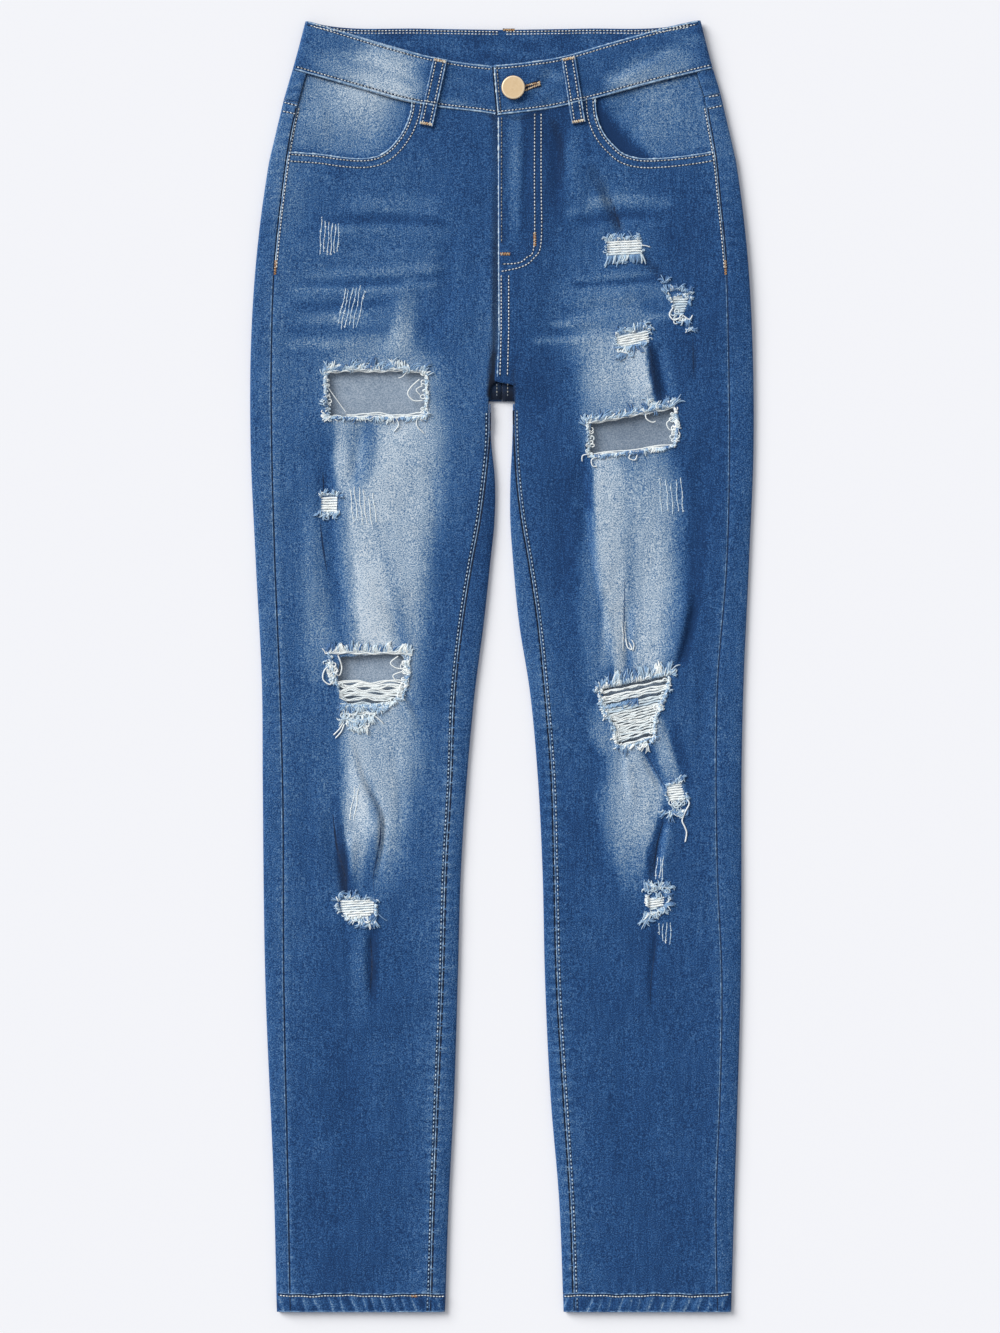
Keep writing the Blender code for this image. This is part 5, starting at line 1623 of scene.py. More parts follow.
PANELS = {}
for side in SIDES:
    for make, node in ((front_panel, "front_"), (back_panel, "back_"), (yoke, "yoke_"),
                       (pocket_facing, "pocket_facing_"), (hem, "hem_"), (front_loop, "belt_loop_front_")):
        PANELS[node + side] = make(side)
    name = "back_pocket_" + side
    PANELS[name] = slab(name, [(SIGN[side] * a, y) for a, y in BACK_POCKET], 0.24)
PANELS["waistband"] = waistband()
for name, x in BACK_LOOPS.items():
    (left, right), (foot, top) = (x - LOOP_WIDTH / 2, x + LOOP_WIDTH / 2), BACK_LOOP_Y
    PANELS[name] = slab(name, [(left, foot), (right, foot), (right, top), (left, top)], 0.3)
PANELS["fly_zip"] = fly_zip()
PANELS["waist_button"] = waist_button()

# ---------------------------------------------------------------- laying details on the cloth


def shown_surface():
    """A search tree over all the cloth, walls included."""
    ready = bpy.context.evaluated_depsgraph_get()
    points, faces = [], []
    for node, piece in PANELS.items():
        if node not in ("fly_zip", "waist_button"):
            mesh = piece.evaluated_get(ready).to_mesh()
            start = len(points)
            points += [vertex.co.copy() for vertex in mesh.vertices]
            faces += [[start + corner for corner in face.vertices] for face in mesh.polygons]
    return BVHTree.FromPolygons(points, faces)


SURFACE = shown_surface()


def on_cloth(x, y, below=False, rise=0):
    """Height in millimetres, `rise` out from the cloth, seen from above or from below."""
    origin, way = (-0.05, 1) if below else (0.06, -1)
    heights = np.zeros(x.size)
    last = 1 if below else 5
    for k, spot in enumerate(zip(x.ravel() * MM, y.ravel() * MM)):
        hit = SURFACE.ray_cast(Vector((*spot, origin)), Vector((0, 0, way)))[0]
        last = last if hit is None else hit.z / MM
        heights[k] = last
    return heights.reshape(x.shape) - way * rise


def on_side(side, path):
    """Across values turned into x."""
    path = np.array(path, float)
    path[:, 0] *= SIGN[side]
    return path


chance = np.random.default_rng(14)
thread_strands = Strands()
orange_strands = Strands()
shade_ribbon_strands = Strands()
bead_strands = Strands()
pale_strands = Strands()
yarn_strands = {side: Strands() for side in SIDES}


def shade_ribbon(path, width, below=False, tint=0.4, lift=0.05, taper=False):
    """A thin dark band of painted shade along a path: in a row of stitches' channel, along a crease or
    beside an edge.
    """
    path = evenly(path, 1.3)
    half = width / 2 * (np.sin(np.linspace(0.06, 0.94, len(path)) * math.pi) if taper else 1)
    x, y = np.stack([offset(path, -half), path, offset(path, half)], axis=1).transpose(2, 0, 1)
    points = np.stack([x, y, on_cloth(x, y, below, lift)], axis=2)
    shade_ribbon_strands.take(points.reshape(-1, 3), grid_faces(len(path), 3),
                        tint + chance.normal(0, 0.12, x.size))


def stitch_row(path, tint=0.5, below=False, groove=1.3, spread_tint=0.14, into=thread_strands,
               pitch=STITCH_PITCH):
    """Separate stitches along a path of (x, y), each sunk at both ends."""
    path = evenly(path, 0.5)
    run = run_along(path)
    starts = np.arange(0.3, run[-1] - STITCH, pitch)
    if not len(starts):
        return
    # painted shade in the channel the row is sunk into
    if groove:
        shade_ribbon(path, groove, below, 0.18)
    starts = starts + chance.normal(0, 0.08, len(starts))
    at = starts[:, None] + np.array([0, 0.35, 1, 1.65, 2]) * STITCH / 2
    x, y = np.interp(at, run, path[:, 0]), np.interp(at, run, path[:, 1])
    height = on_cloth(x, y, below, np.array([-0.25, 0.12, 0.2, 0.12, -0.25]))
    radii = np.broadcast_to(np.array([0.5, 1, 1.05, 1, 0.5]) * STITCH_RADIUS, x.shape)
    tints = np.clip(tint + chance.normal(0, spread_tint, len(starts)), 0, 1)
    into.add(np.stack([x, y, height], axis=2), radii, tints)


def tack(start, end, width, tint, below=False):
    """A bartack: a close zigzag of thread along a short line, over a patch of painted shade."""
    start, end = np.array(start, float), np.array(end, float)
    length = np.linalg.norm(end - start)
    run = (end - start) / length
    aside = np.array([-run[1], run[0]])
    shade_ribbon([start - run * 0.4, end + run * 0.4], width + 0.5, below, 0.15)
    count = max(5, int(length / 0.78))
    middle = start + np.linspace(0, 1, count)[:, None] * (end - start)
    shares = np.array([-0.5, -0.3, 0, 0.3, 0.5])[:, None]
    lean = np.where(np.arange(count) % 2, 0.45, -0.45)[:, None, None] * shares
    spots = middle[:, None] + aside * shares * width + run * lean
    spots = spots + chance.normal(0, 0.06, (count, 1, 1))
    x, y = spots[..., 0], spots[..., 1]
    height = on_cloth(x, y, below, np.array([-0.1, 0.25, 0.35, 0.25, -0.1]))
    radii = np.broadcast_to(np.array([0.7, 1, 1, 1, 0.7]) * 0.33, x.shape)
    tints = np.clip(tint + chance.normal(0, 0.22, count), 0, 1)
    orange_strands.add(np.stack([x, y, height], axis=2), radii, tints)


def bead(path, radius, tint, spread_tint=0.12, least=0.7):
    """A worn edge: a thin uneven line of rubbed yarn, which thins to the `least` share of its radius."""
    x, y = evenly(path, 0.9).T
    height = on_cloth(x, y, rise=-0.1)
    draw = chance.normal(0, 1, len(x))
    draw = (draw + np.roll(draw, 1)) / 1.4
    wide = radius * np.clip(0.85 + 0.3 * draw, least, 1.4)
    tints = np.clip(tint + spread_tint * (0.6 * draw + 0.4 * chance.normal(0, 1, len(x))), 0, 1)
    bead_strands.add(np.column_stack([x, y, height])[None], wide[None], tints)


# ---------------------------------------------------------------- frayed yarn


def strands(paths, radius, tints, lift=0.15):
    """Yarns whose rows are (x, y, height over the cloth), laid on it."""
    x, y, over = np.moveaxis(np.asarray(paths, float), -1, 0)
    height = np.maximum(on_cloth(x, y), RIM_LEVEL) + over + lift
    taper = np.ones(x.shape)
    taper[:, -1] = 0.45
    leg = "right" if np.mean(x) * SIGN["right"] > 0 else "left"
    yarn_strands[leg].add(np.stack([x, y, height], axis=2), np.reshape(radius, (-1, 1)) * taper, tints)


def fringe(edge, away, length, seed, tint=0.45, lean=0.1, pitch=0.62, radius=0.46, curl=1, rise=1.3,
           clump=4, spread_tint=0.22):
    """Cut warp yarns in curling clumps, outwards from an edge of (x, y). `away` is the way they point."""
    draw = np.random.default_rng(seed)
    edge = evenly(edge, pitch)
    count = len(edge)
    away = np.array(away, float) / np.linalg.norm(away)
    aside = np.array([away[1], -away[0]])
    group = np.cumsum(draw.uniform(0, 1, count) < 1 / clump)
    groups = group[-1] + 1
    own = np.arange(count, dtype=float)
    centre = np.array([own[group == g].mean() if (group == g).any() else 0 for g in range(groups)])
    to_centre = (centre[group] - own) * pitch

    def shared(scatter, own_scatter):
        """One random number for each clump, and a little of each yarn's own."""
        return draw.normal(0, scatter, groups)[group] + draw.normal(0, own_scatter, count)

    reach = length * np.clip(0.88 + shared(0.16, 0.1), 0.35, 1.3)
    slant = lean + shared(0.24, 0.08)
    bend = curl * (0.35 + shared(0.8, 0.25))
    shares = np.linspace(0, 1, 8)
    angle = slant[:, None] + bend[:, None] * shares ** 1.4 * 1.5
    step = reach[:, None] / (len(shares) - 1)
    forward, sideways = (np.cumsum(way * step, axis=1) - way[:, :1] * step
                         for way in (np.cos(angle), np.sin(angle)))
    sideways = sideways + 0.55 * to_centre[:, None] * shares
    start = edge + draw.normal(0, 0.18, edge.shape)
    x, y = (start[:, k:k + 1] + away[k] * forward + aside[k] * sideways for k in (0, 1))
    up = rise * draw.uniform(0.3, 1, count)[:, None] * np.sin(shares * math.pi * 0.85)
    strands(np.stack([x, y, up], axis=2), radius * draw.uniform(0.8, 1.25, count),
            np.clip(tint + shared(spread_tint, 0.5 * spread_tint), 0, 1))


def weft(start, end, seed, count=1, apart=0, wave=0.5, length=14, tint=0.92, radius=0.42, lift=0.3):
    """White yarns that run across from start to end, side by side and slightly wavy."""
    draw = np.random.default_rng(seed)
    start, end = np.array(start, float), np.array(end, float)
    whole = np.linalg.norm(end - start)
    rows = max(8, int(whole / 1.6))
    share = np.linspace(0, 1, rows)[:, None]
    run = (end - start) / whole
    aside = np.array([-run[1], run[0]])

    def waves(low, high):
        return np.sin(share[:, 0] * whole * math.tau / (length * draw.uniform(low, high))
                      + draw.uniform(0, 6))

    shared_wave = wave * waves(0.8, 1.6)
    for k in range(count):
        own = (k - (count - 1) / 2) * apart
        aside_by = own + shared_wave + 0.35 * wave * waves(0.5, 1.1) + draw.normal(0, 0.04, rows)
        path = start + (end - start) * share + aside * aside_by[:, None]
        up = 0.25 * np.sin(share * whole * math.tau / (length * 0.7) + draw.uniform(0, 6))
        strands([np.hstack([path, up])], radius * draw.uniform(0.88, 1.12),
                min(1, tint + draw.normal(0, 0.09)), lift)


def loops(edge, out, count, size, seed, tint=0.92, radius=0.4):
    """Small pulled loops and curls of white yarn along a torn side. `out` is the way they bulge."""
    draw = np.random.default_rng(seed)
    edge, out = np.asarray(edge, float), np.array(out, float)
    at = np.linspace(0.04, 0.96, count) + draw.normal(0, 0.02, count)
    turn = np.linspace(0, 1, 10)
    for share in at:
        spot = np.array([np.interp(share, np.linspace(0, 1, len(edge)), column) for column in edge.T])
        big = size * draw.uniform(0.45, 1.15)
        hand = draw.choice((-1, 1))
        swing = (turn * math.tau * draw.uniform(0.55, 1.05))[:, None]
        bulge = out * draw.choice((1, 1, -0.6))
        way = np.array([-bulge[1], bulge[0]]) * hand * draw.uniform(0.5, 0.9)
        path = spot + bulge * 0.5 * big * (1 - np.cos(swing)) + way * 0.6 * big * np.sin(swing)
        up = np.sin(turn * math.pi) * draw.uniform(0.3, 1)
        strands([np.column_stack([path, up])], radius * draw.uniform(0.8, 1.2),
                np.clip(tint + draw.normal(0, 0.1), 0, 1), 0.25)


def single(nodes, radius):
    """One placed yarn through (x, y, height over the cloth)."""
    strands([curve(nodes, 5)], radius, 0.95, 0.3)


def tuft(spot, away, width, length, seed, tint):
    """A short clump of fringe."""
    spot, away = np.array(spot, float), np.array(away, float) / np.linalg.norm(away)
    aside = np.array([away[1], -away[0]])
    ends = [spot - aside * width / 2, spot + aside * width / 2]
    fringe(ends, away, length, seed, tint - 0.08, 0, 0.46, 0.44, 1.3, clump=5, spread_tint=0.18)
    fringe(ends, away, length * 0.7, seed + 5000, tint + 0.2, 0, 1.3, 0.4, 1.3, 1.8, clump=2)


def torn_side(side, edge, inwards, seed, count=11, size=3.4):
    """White knots, loops and short ends down a torn side of a rip."""
    edge = on_side(side, edge)
    out = np.array([inwards * SIGN[side], 0.1])
    loops(edge, out, count, size, seed, 0.95, 0.5)
    loops(edge, -out, count, size * 0.8, seed + 1, 0.75, 0.46)
    fringe(edge, -out, 3, seed + 2, 0.6, 0, 0.6, 0.44, 1.5)


def rip(side, top, foot, inner, outer, seed, top_length=9, foot_length=4.5, top_lean=0.15, tint=0.3,
        top_curl=1):
    """Fringe above and below an open rip, its white edge yarns, and its torn sides."""
    top, foot = on_side(side, top), on_side(side, foot)
    fringe(top, (0, 1), top_length * 1.12, seed, tint, top_lean, 0.5, 0.42, top_curl, spread_tint=0.3)
    fringe(top, (0, 1), top_length * 0.7, seed + 1, tint + 0.34, top_lean, 0.8, 0.4, 0.8 * top_curl, 1.2)
    for k in range(3):
        path = evenly(curve(top, 4), 1.6)
        draw = np.random.default_rng(seed + 10 + k)
        path[:, 1] += -0.6 + 0.75 * k + 0.4 * np.sin(np.arange(len(path)) * draw.uniform(0.5, 0.9) + k)
        up = 0.4 * np.sin(np.arange(len(path)) * 0.9 + 2 * k)
        strands([np.column_stack([path, up])], 0.56, 0.97 - 0.05 * k, 0.35)
    fringe(foot, (0, -1), foot_length, seed + 2, tint + 0.06, 0.1, 0.5, 0.42, 1.4, spread_tint=0.3)
    torn_side(side, inner, 1, seed + 20)
    torn_side(side, outer, -1, seed + 30)


def weft_patch(side, name, slant, seed, pitch=1.9, radius=0.78, tint=0.97):
    """Rows of white weft that fill a worn rip from edge to edge."""
    points = np.array(WORN_PATCHES[side][name])
    middle = points[:, 0].mean()
    tilted = points[:, 1] - slant * (points[:, 0] - middle)
    ends = list(zip(points[:, 0], tilted))
    for k, y in enumerate(np.arange(points[:, 1].min() + 0.4, points[:, 1].max(), pitch)):
        hits = [a1 + (a2 - a1) * (y - y1) / (y2 - y1)
                for (a1, y1), (a2, y2) in zip(ends, ends[1:] + ends[:1]) if (y1 > y) != (y2 > y)]
        if hits:
            row = [(SIGN[side] * a, y + slant * (a - middle)) for a in (min(hits) - 0.6, max(hits) + 0.6)]
            weft(*row, seed + k, wave=0.16, length=12, tint=tint, radius=radius, lift=0.25)


def curls(side, places, seed):
    """Fringe clumps: (across, y) of the root, the way they point, width, length and tint."""
    for k, (a, y, away_across, away_y, width, length, tint) in enumerate(places):
        tuft((SIGN[side] * a, y), (SIGN[side] * away_across, away_y), width, length, seed + k, tint)


def scratches(side, first, last, foot, count, seed):
    """Light lines where the blue warp was cut and the white weft shows in short dashes."""
    draw = np.random.default_rng(seed)
    pale = 0.52 + 0.55 * float(wash(side, np.array([last[0]]), np.array([last[1] - 12]))[0])
    for k in range(count):
        share = k / (count - 1)
        top_a = first[0] + (last[0] - first[0]) * share + draw.normal(0, 0.35)
        top_y = first[1] + (last[1] - first[1]) * share - abs(draw.normal(0, 2))
        y = np.arange(top_y, foot[1] + draw.normal(1.5, 2), -0.9)
        run = np.linspace(0, 1, len(y))
        a = top_a + (foot[0] - first[0]) * run + 0.35 * np.sin(y / 3.1 + 2 * k)
        a = a + draw.normal(0, 0.12, len(y))
        wide = np.clip(0.33 + 0.05 * draw.normal(0, 1, len(y)), 0.2, 0.5)
        wide[draw.uniform(0, 1, len(y)) < 0.03] = 0.08
        line = np.column_stack([SIGN[side] * a, y, on_cloth(SIGN[side] * a, y, rise=0.05)])
        yarn_strands[side].add(line[None], wide[None], np.clip(draw.normal(pale, 0.14, len(y)), 0, 1))
        dashes = y[draw.uniform(0, 1, len(y)) < 0.06 + 0.2 * (run > 0.85)]
        half = draw.uniform(0.4, 0.9, len(dashes))[:, None]
        shares = np.array([-1, 0, 1])
        x = SIGN[side] * (np.interp(-dashes, -y, a)[:, None] + half * shares)
        dash_y = dashes[:, None] + 0.3 * shares * draw.normal(0, 1, (len(dashes), 1))
        if len(dashes):
            strands(np.stack([x, dash_y, np.zeros(x.shape)], axis=2), 0.34,
                    np.clip(draw.normal(0.7, 0.14, len(dashes)), 0, 1), 0.1)


# Right thigh: a wide window with one long diagonal yarn
rip("right", ((137, 229.5), (118, 231), (98, 230.5), (78, 231.5), (60.5, 229)),
    ((135, 195.5), (116, 194.5), (98, 195.5), (80, 194), (61.5, 195.5)),
    ((60.5, 229), (59.5, 213), (61, 196.5)), ((136.5, 230), (137, 213), (134.5, 196.5)), 100)
weft((-122, 196.5), (-60, 196), 131, 2, 1.5, 0.9, 26, 0.97, 0.5)
weft((-136, 195), (-62, 194.6), 132, 2, 1, 0.5, 14, 0.92, 0.42)
single(((-136, 218, 0.2), (-131, 211, 0.1), (-122, 198.5, 0.3)), 0.34)
single(((-64.5, 224, 0.3), (-71, 218, 0.8), (-73.5, 212.5, 0.9), (-69, 207.5, 0.7), (-62, 207.5, 0.4)), 0.5)
single(((-62, 219, 0.4), (-67, 216, 0.7), (-64, 212, 0.5)), 0.4)
single(((-83, 194, 0.4), (-80.5, 188.5, 0.7), (-84.5, 183, 0.3)), 0.46)
single(((-66, 195, 0.4), (-66.5, 188, 0.7), (-61, 182, 0.3)), 0.42)
single(((-75, 229, 0.2), (-78, 226, 0.4), (-81, 225, 0.2)), 0.36)
tuft((-137, 230), (-0.7, 1), 7, 7, 140, 0.5)
tuft((-61, 230), (0.8, 0.8), 8, 5, 141, 0.6)
tuft((-137.5, 207), (-1, 0), 7, 6, 142, 0.6)
tuft((-136, 195), (-0.8, -0.7), 8, 6, 143, 0.6)
tuft((-61, 196), (0.6, -0.7), 7, 4.5, 144, 0.6)

# Left thigh: the same, lifted at its outer end
rip("left", ((66.5, 190), (84, 192.5), (101, 196), (118, 199), (134, 202.5)),
    ((69, 165), (85, 166), (101, 168.5), (118, 170), (133.5, 172.5)),
    ((67.5, 190.5), (68.5, 178), (68.5, 165)), ((134, 202.5), (136, 187), (133.5, 172)),
    200, 8.5, 4, 0.35)
torn_side("left", ((134, 197), (136, 187), (134.5, 176)), -1, 250, 10, 4)
weft((66.5, 164.5), (134, 172.5), 231, 2, 1.4, 0.7, 30, 0.97, 0.5)
weft((70, 163.5), (128, 170.5), 232, 2, 1, 0.4, 12, 0.93, 0.42)
single(((112, 199, 0.4), (112.5, 193.5, 0.9), (117, 190.5, 0.8), (120, 191.5, 0.3)), 0.5)
single(((134, 194, 0.4), (128.5, 190, 0.8), (131, 184.5, 0.8), (135.5, 187, 0.4), (134, 192, 0.5)), 0.45)
single(((101, 167, 0.4), (99, 162.5, 0.9), (103.5, 161, 0.7), (105.5, 165, 0.4)), 0.45)
single(((70, 166, 0.4), (63, 164.5, 0.8), (62.5, 160, 0.3)), 0.45)
single(((76, 164, 0.4), (70, 161.5, 0.9), (70.5, 156.5, 0.6), (74, 156, 0.3)), 0.45)
tuft((116.5, 203), (0.3, 1), 8, 9, 240, 0.6)
tuft((130, 205), (0.3, 1), 7, 6, 241, 0.45)
tuft((67, 190), (-1, 0.7), 6, 7, 242, 0.35)

# Right knee: a window above a ladder of white weft, a blue band and a hanging cluster
rip("right", ((138, 10.5), (122, 11), (104, 10.5), (88, 11), (70, 9.5)),
    ((122, -30), (110, -30.5), (98, -30), (90, -28)),
    ((74, 9), (73.5, -2), (77, -17)), ((134, 9), (131.5, -3), (127, -16)),
    300, 7.4, 2, 0, tint=0.42, top_curl=0.4)
for k, (outer_end, inner_end, count, tint) in enumerate((
        ((129, -12.5), (76.5, -12), 2, 0.98), ((128, -15), (78, -15.5), 3, 0.95),
        ((127, -18.5), (77, -19.5), 3, 0.95), ((127, -22), (77, -23), 3, 0.92),
        ((126.5, -25), (84, -25.5), 2, 0.9), ((126.5, -29.5), (88, -29), 2, 0.75),
        ((126, -33), (90, -32), 2, 0.7), ((125, -37), (97, -36), 2, 0.85))):
    weft((-outer_end[0], outer_end[1]), (-inner_end[0], inner_end[1]), 330 + k, count, 1,
         1.05 if k < 5 else 0.7, 20, tint, 0.56)
torn_side("right", ((136, 4), (134, -5), (130.5, -13)), -1, 350, 10, 4)
torn_side("right", ((76, 4), (74, -8), (78, -24), (92, -30)), 1, 355, 12, 3.6)
loops(((-133, 5), (-130, -6)), (-1, 0.1), 8, 4, 370, 0.95, 0.5)
fringe(((-126, -29), (-108, -29.5), (-90, -28)), (0.1, -1), 8, 364, 0.3, 0, 0.5, 0.48, 0.8)
loops(((-126, -36), (-112, -38), (-99, -36)), (0.2, -1), 18, 4.2, 360, 0.8, 0.5)
loops(((-123, -42), (-112, -45), (-104, -44)), (0, -1), 14, 4, 361, 0.9, 0.5)
fringe(((-124, -38), (-114, -41), (-100, -38)), (0.05, -1), 9, 365, 0.6, 0, 0.5, 0.5, 1)
fringe(((-119, -46), (-112, -48), (-105, -47)), (0.1, -1), 5.5, 362, 0.9, 0, 0.7, 0.5, 0.8)
fringe(((-98, -34), (-86, -27)), (0.6, -1), 4.5, 363, 0.55)
tuft((-92, -31.5), (0.8, -1), 7, 5, 366, 0.55)
single(((-124, -44, 0.4), (-127, -49, 0.5), (-131.5, -53.5, 0.3)), 0.55)
single(((-123, -45, 0.4), (-125.5, -51, 0.5), (-130, -56, 0.3)), 0.55)
single(((-100, -38, 0.4), (-96, -41, 0.7), (-92.5, -44.5, 0.3)), 0.5)
single(((-128, 9, 0.3), (-125, 0, 0.9), (-127, -7, 0.6), (-132, -4, 0.5)), 0.6)
single(((-133, 2, 0.4), (-138.5, -3, 0.8), (-139.5, -10, 0.8), (-134, -14, 0.6), (-131, -8, 0.5)), 0.6)
single(((-81, 8, 0.3), (-87, 3, 0.8), (-83, -1, 0.5), (-76, -2, 0.4)), 0.5)
single(((-78, -4, 0.4), (-85, -7, 0.8), (-82, -12, 0.5)), 0.5)

# Left knee: a trapezoid of weft rows that climb outwards, with dark slits between a few
fringe(((74, -17.5), (90, -15), (108, -10.5), (124, -6.5), (132, -4.5)), (0.1, 1), 10.5, 400, 0.36,
       0.05, 0.5, 0.46, 0.55)
fringe(((76, -18), (104, -12), (131, -6.5)), (0.08, 1), 6, 401, 0.72, 0.05, 0.8, 0.42, 0.6)
for k in range(22):
    if k in (1, 5, 20):
        continue
    y = -20.3 - 1.98 * k
    left_end = np.interp(y, (-62, -47, -34, -20), (91, 88, 80, 76.8))
    right_end = np.interp(y + 11, (-56, -42, -31, -18, -8), (118, 118.6, 122, 128.4, 129.3))
    climb = (right_end - left_end) * (0.19 + 0.004 * k)
    tint = 0.74 if 6 <= k <= 8 else 0.97
    weft((left_end, y), (right_end, y + climb), 410 + k, 1, 0, 0.35, 16, tint, 0.72)
    weft((left_end + 2, y - 0.4), (right_end - 2, y - 0.4 + climb), 910 + k, 1, 0, 0.5, 11,
         tint - 0.12, 0.42, lift=0.7)
fringe(((79, -30.5), (92, -28), (106, -24.5)), (0.1, -1), 6, 470, 0.35, 0, 0.6, 0.46, 0.9)
torn_side("left", ((76.5, -19), (79.5, -33), (87.5, -46), (90.5, -60)), 1, 450, 15, 3.2)
torn_side("left", ((129.5, -8), (128, -18), (121.8, -32), (118.5, -44), (117.5, -55)), -1, 455, 15, 3.2)
fringe(((90, -61.5), (104, -60), (115.5, -55.5)), (0, -1), 4.5, 460, 0.5, 0, 0.6)
tuft((94, -61.5), (-0.3, -1), 7, 7, 461, 0.4)
tuft((111, -60), (0.1, -1), 4, 9, 462, 0.9)
tuft((117, -55.5), (0.5, -0.8), 6, 5, 463, 0.45)
tuft((131.5, -5.5), (0.6, 0.9), 6, 6, 467, 0.4)
tuft((129, -16.5), (0.8, 0.3), 6, 3.4, 468, 0.6)
tuft((126, -24), (1, -0.4), 7, 3.4, 469, 0.5)
tuft((121.8, -32), (1, 0.2), 6, 4, 471, 0.6)
tuft((119, -40), (1, -0.3), 7, 3, 472, 0.6)
tuft((118, -49), (1, 0.1), 6, 3, 473, 0.65)
tuft((75, -18), (-0.9, 0.5), 7, 5, 464, 0.4)
tuft((77.5, -27), (-1, -0.3), 8, 3.6, 465, 0.5)
tuft((82.5, -37.5), (-0.9, -0.8), 8, 5, 466, 0.55)
single(((93, -52, 0.3), (88, -55.5, 0.4), (84, -57, 0.2)), 0.5)
single(((84, -35, 0.3), (80, -40, 0.4), (78.5, -42.5, 0.2)), 0.5)

weft_patch("left", "hip_upper", 0.04, 500)
curls("left", ((83.5, 332, -0.1, 1, 6, 7.5, 0.35), (89.5, 332.5, 0.1, 1, 7, 6.5, 0.45),
               (97, 333, -0.2, 1, 5, 3.5, 0.45), (103, 333, -0.1, 1, 7, 8, 0.4)), 510)
fringe(((82, 320.5), (95, 321), (109, 322)), (0, -1), 8.5, 520, 0.42, 0, 0.6, 0.5, 0.25,
       spread_tint=0.14)
loops(((82, 331), (81.5, 321)), (-1, 0), 6, 2.6, 521, 0.6)
loops(((109, 332), (109.5, 322)), (1, 0), 5, 2.4, 522, 0.6)
single(((108, 328.5, 0.3), (112, 328, 0.3), (115.5, 327, 0.1)), 0.42)

weft_patch("left", "side", 0.05, 530, tint=0.68)
curls("left", ((127.5, 299.5, -0.3, 1, 5, 5.5, 0.25), (130.5, 293.5, -0.6, 0.6, 7, 5, 0.35),
               (136, 293.5, -0.1, 1, 8, 6, 0.25), (143.5, 291.5, 0.3, 1, 8, 6, 0.2),
               (132, 287.5, -0.9, -0.4, 6, 3.5, 0.55), (146, 286, 0.9, -0.3, 6, 3, 0.3),
               (143.5, 271, 0.2, -1, 6, 7, 0.35), (146, 264.5, 0.2, -1, 5, 6, 0.25),
               (140, 291, 0, -1, 6, 4, 0.3)), 540)
loops(((133, 280), (137, 272), (143, 272)), (-0.6, -1), 8, 4.6, 541, 0.78, 0.5)
single(((133.5, 280, 0.4), (130.5, 274.5, 0.9), (134, 270, 1), (139, 272, 0.6)), 0.55)
single(((141, 274, 0.4), (146, 270.5, 0.8), (148.5, 274, 0.5)), 0.5)

weft_patch("left", "hip_lower", 0.2, 560)
curls("left", ((92.5, 259, -0.4, 1, 8, 7.5, 0.4), (100, 261, 0.1, 1, 8, 5.5, 0.5),
               (107, 262.5, -0.1, 1, 6, 8, 0.45), (112, 263.5, 0.3, 1, 6, 6.5, 0.45)), 570)
fringe(((91, 249.5), (101, 250.5), (113, 254.5)), (-0.1, -1), 7.5, 575, 0.45, 0, 0.6, 0.48, 0.9)
tuft((95, 246), (-0.2, -1), 8, 7.5, 576, 0.5)
loops(((90, 258), (89.5, 250)), (-1, 0), 5, 2.6, 577, 0.6)
loops(((114, 262), (114.5, 253)), (1, 0), 5, 2.6, 578, 0.6)

weft_patch("left", "shin", 0.12, 600)
curls("left", ((137.5, -91, -0.1, 1, 6, 5, 0.35), (140.5, -89, -0.3, 1, 4, 4.5, 0.4),
               (131, -93, -0.3, 1, 5, 3.5, 0.4), (129, -101, -1, -0.3, 6, 2.5, 0.5),
               (143.5, -102, 0.9, 0.2, 6, 3, 0.35), (129, -113, -0.3, -1, 8, 7, 0.35),
               (135, -113, 0, -1, 9, 7.5, 0.4), (141.5, -111.5, 0.2, -1, 7, 7, 0.35)), 610)
loops(((131, -104), (138, -106), (143, -103)), (0.3, -1), 11, 4.6, 620, 0.7, 0.46)
loops(((131, -109), (138, -110), (143, -107)), (-0.2, -1), 8, 4, 621, 0.5, 0.44)
single(((144, -103, 0.4), (146, -107, 0.9), (143, -113, 0.8), (140.5, -120, 0.5), (142.5, -125, 0.4),
        (144, -130, 0.3), (142.8, -137, 0.2)), 0.6)

weft_patch("left", "low", 0.15, 640)
curls("left", ((115, -174, -0.5, 1, 7, 8, 0.4), (121, -174, 0, 1, 8, 6, 0.5),
               (127, -172.5, 0.3, 1, 8, 6.5, 0.32), (127.5, -178, 0.8, 0.5, 7, 5.5, 0.3),
               (114.5, -183, -1, 0, 9, 4, 0.6), (114.5, -192, -0.4, -1, 7, 13, 0.45),
               (119, -191, 0, -1, 6, 8, 0.7), (124.5, -187.5, 0.5, -1, 8, 9, 0.4),
               (127.5, -184.5, 0.9, -0.7, 7, 7, 0.32)), 650)
loops(((115, -175), (122, -177), (130, -173)), (0, -1), 12, 4.5, 661, 0.55, 0.5)

weft_patch("right", "side", 0, 680, 2, 0.82)
curls("right", ((139.5, 133, 0.3, 1, 5, 5.5, 0.4), (133.5, 133.5, 0, 1, 5, 4.5, 0.45),
                (128.5, 132.5, -0.5, 1, 4.5, 5, 0.4), (139.5, 121, 0.4, -1, 6, 9, 0.4),
                (134, 121, 0, -1, 6, 7, 0.4), (129, 121, -0.2, -1, 4, 5, 0.45)), 690)

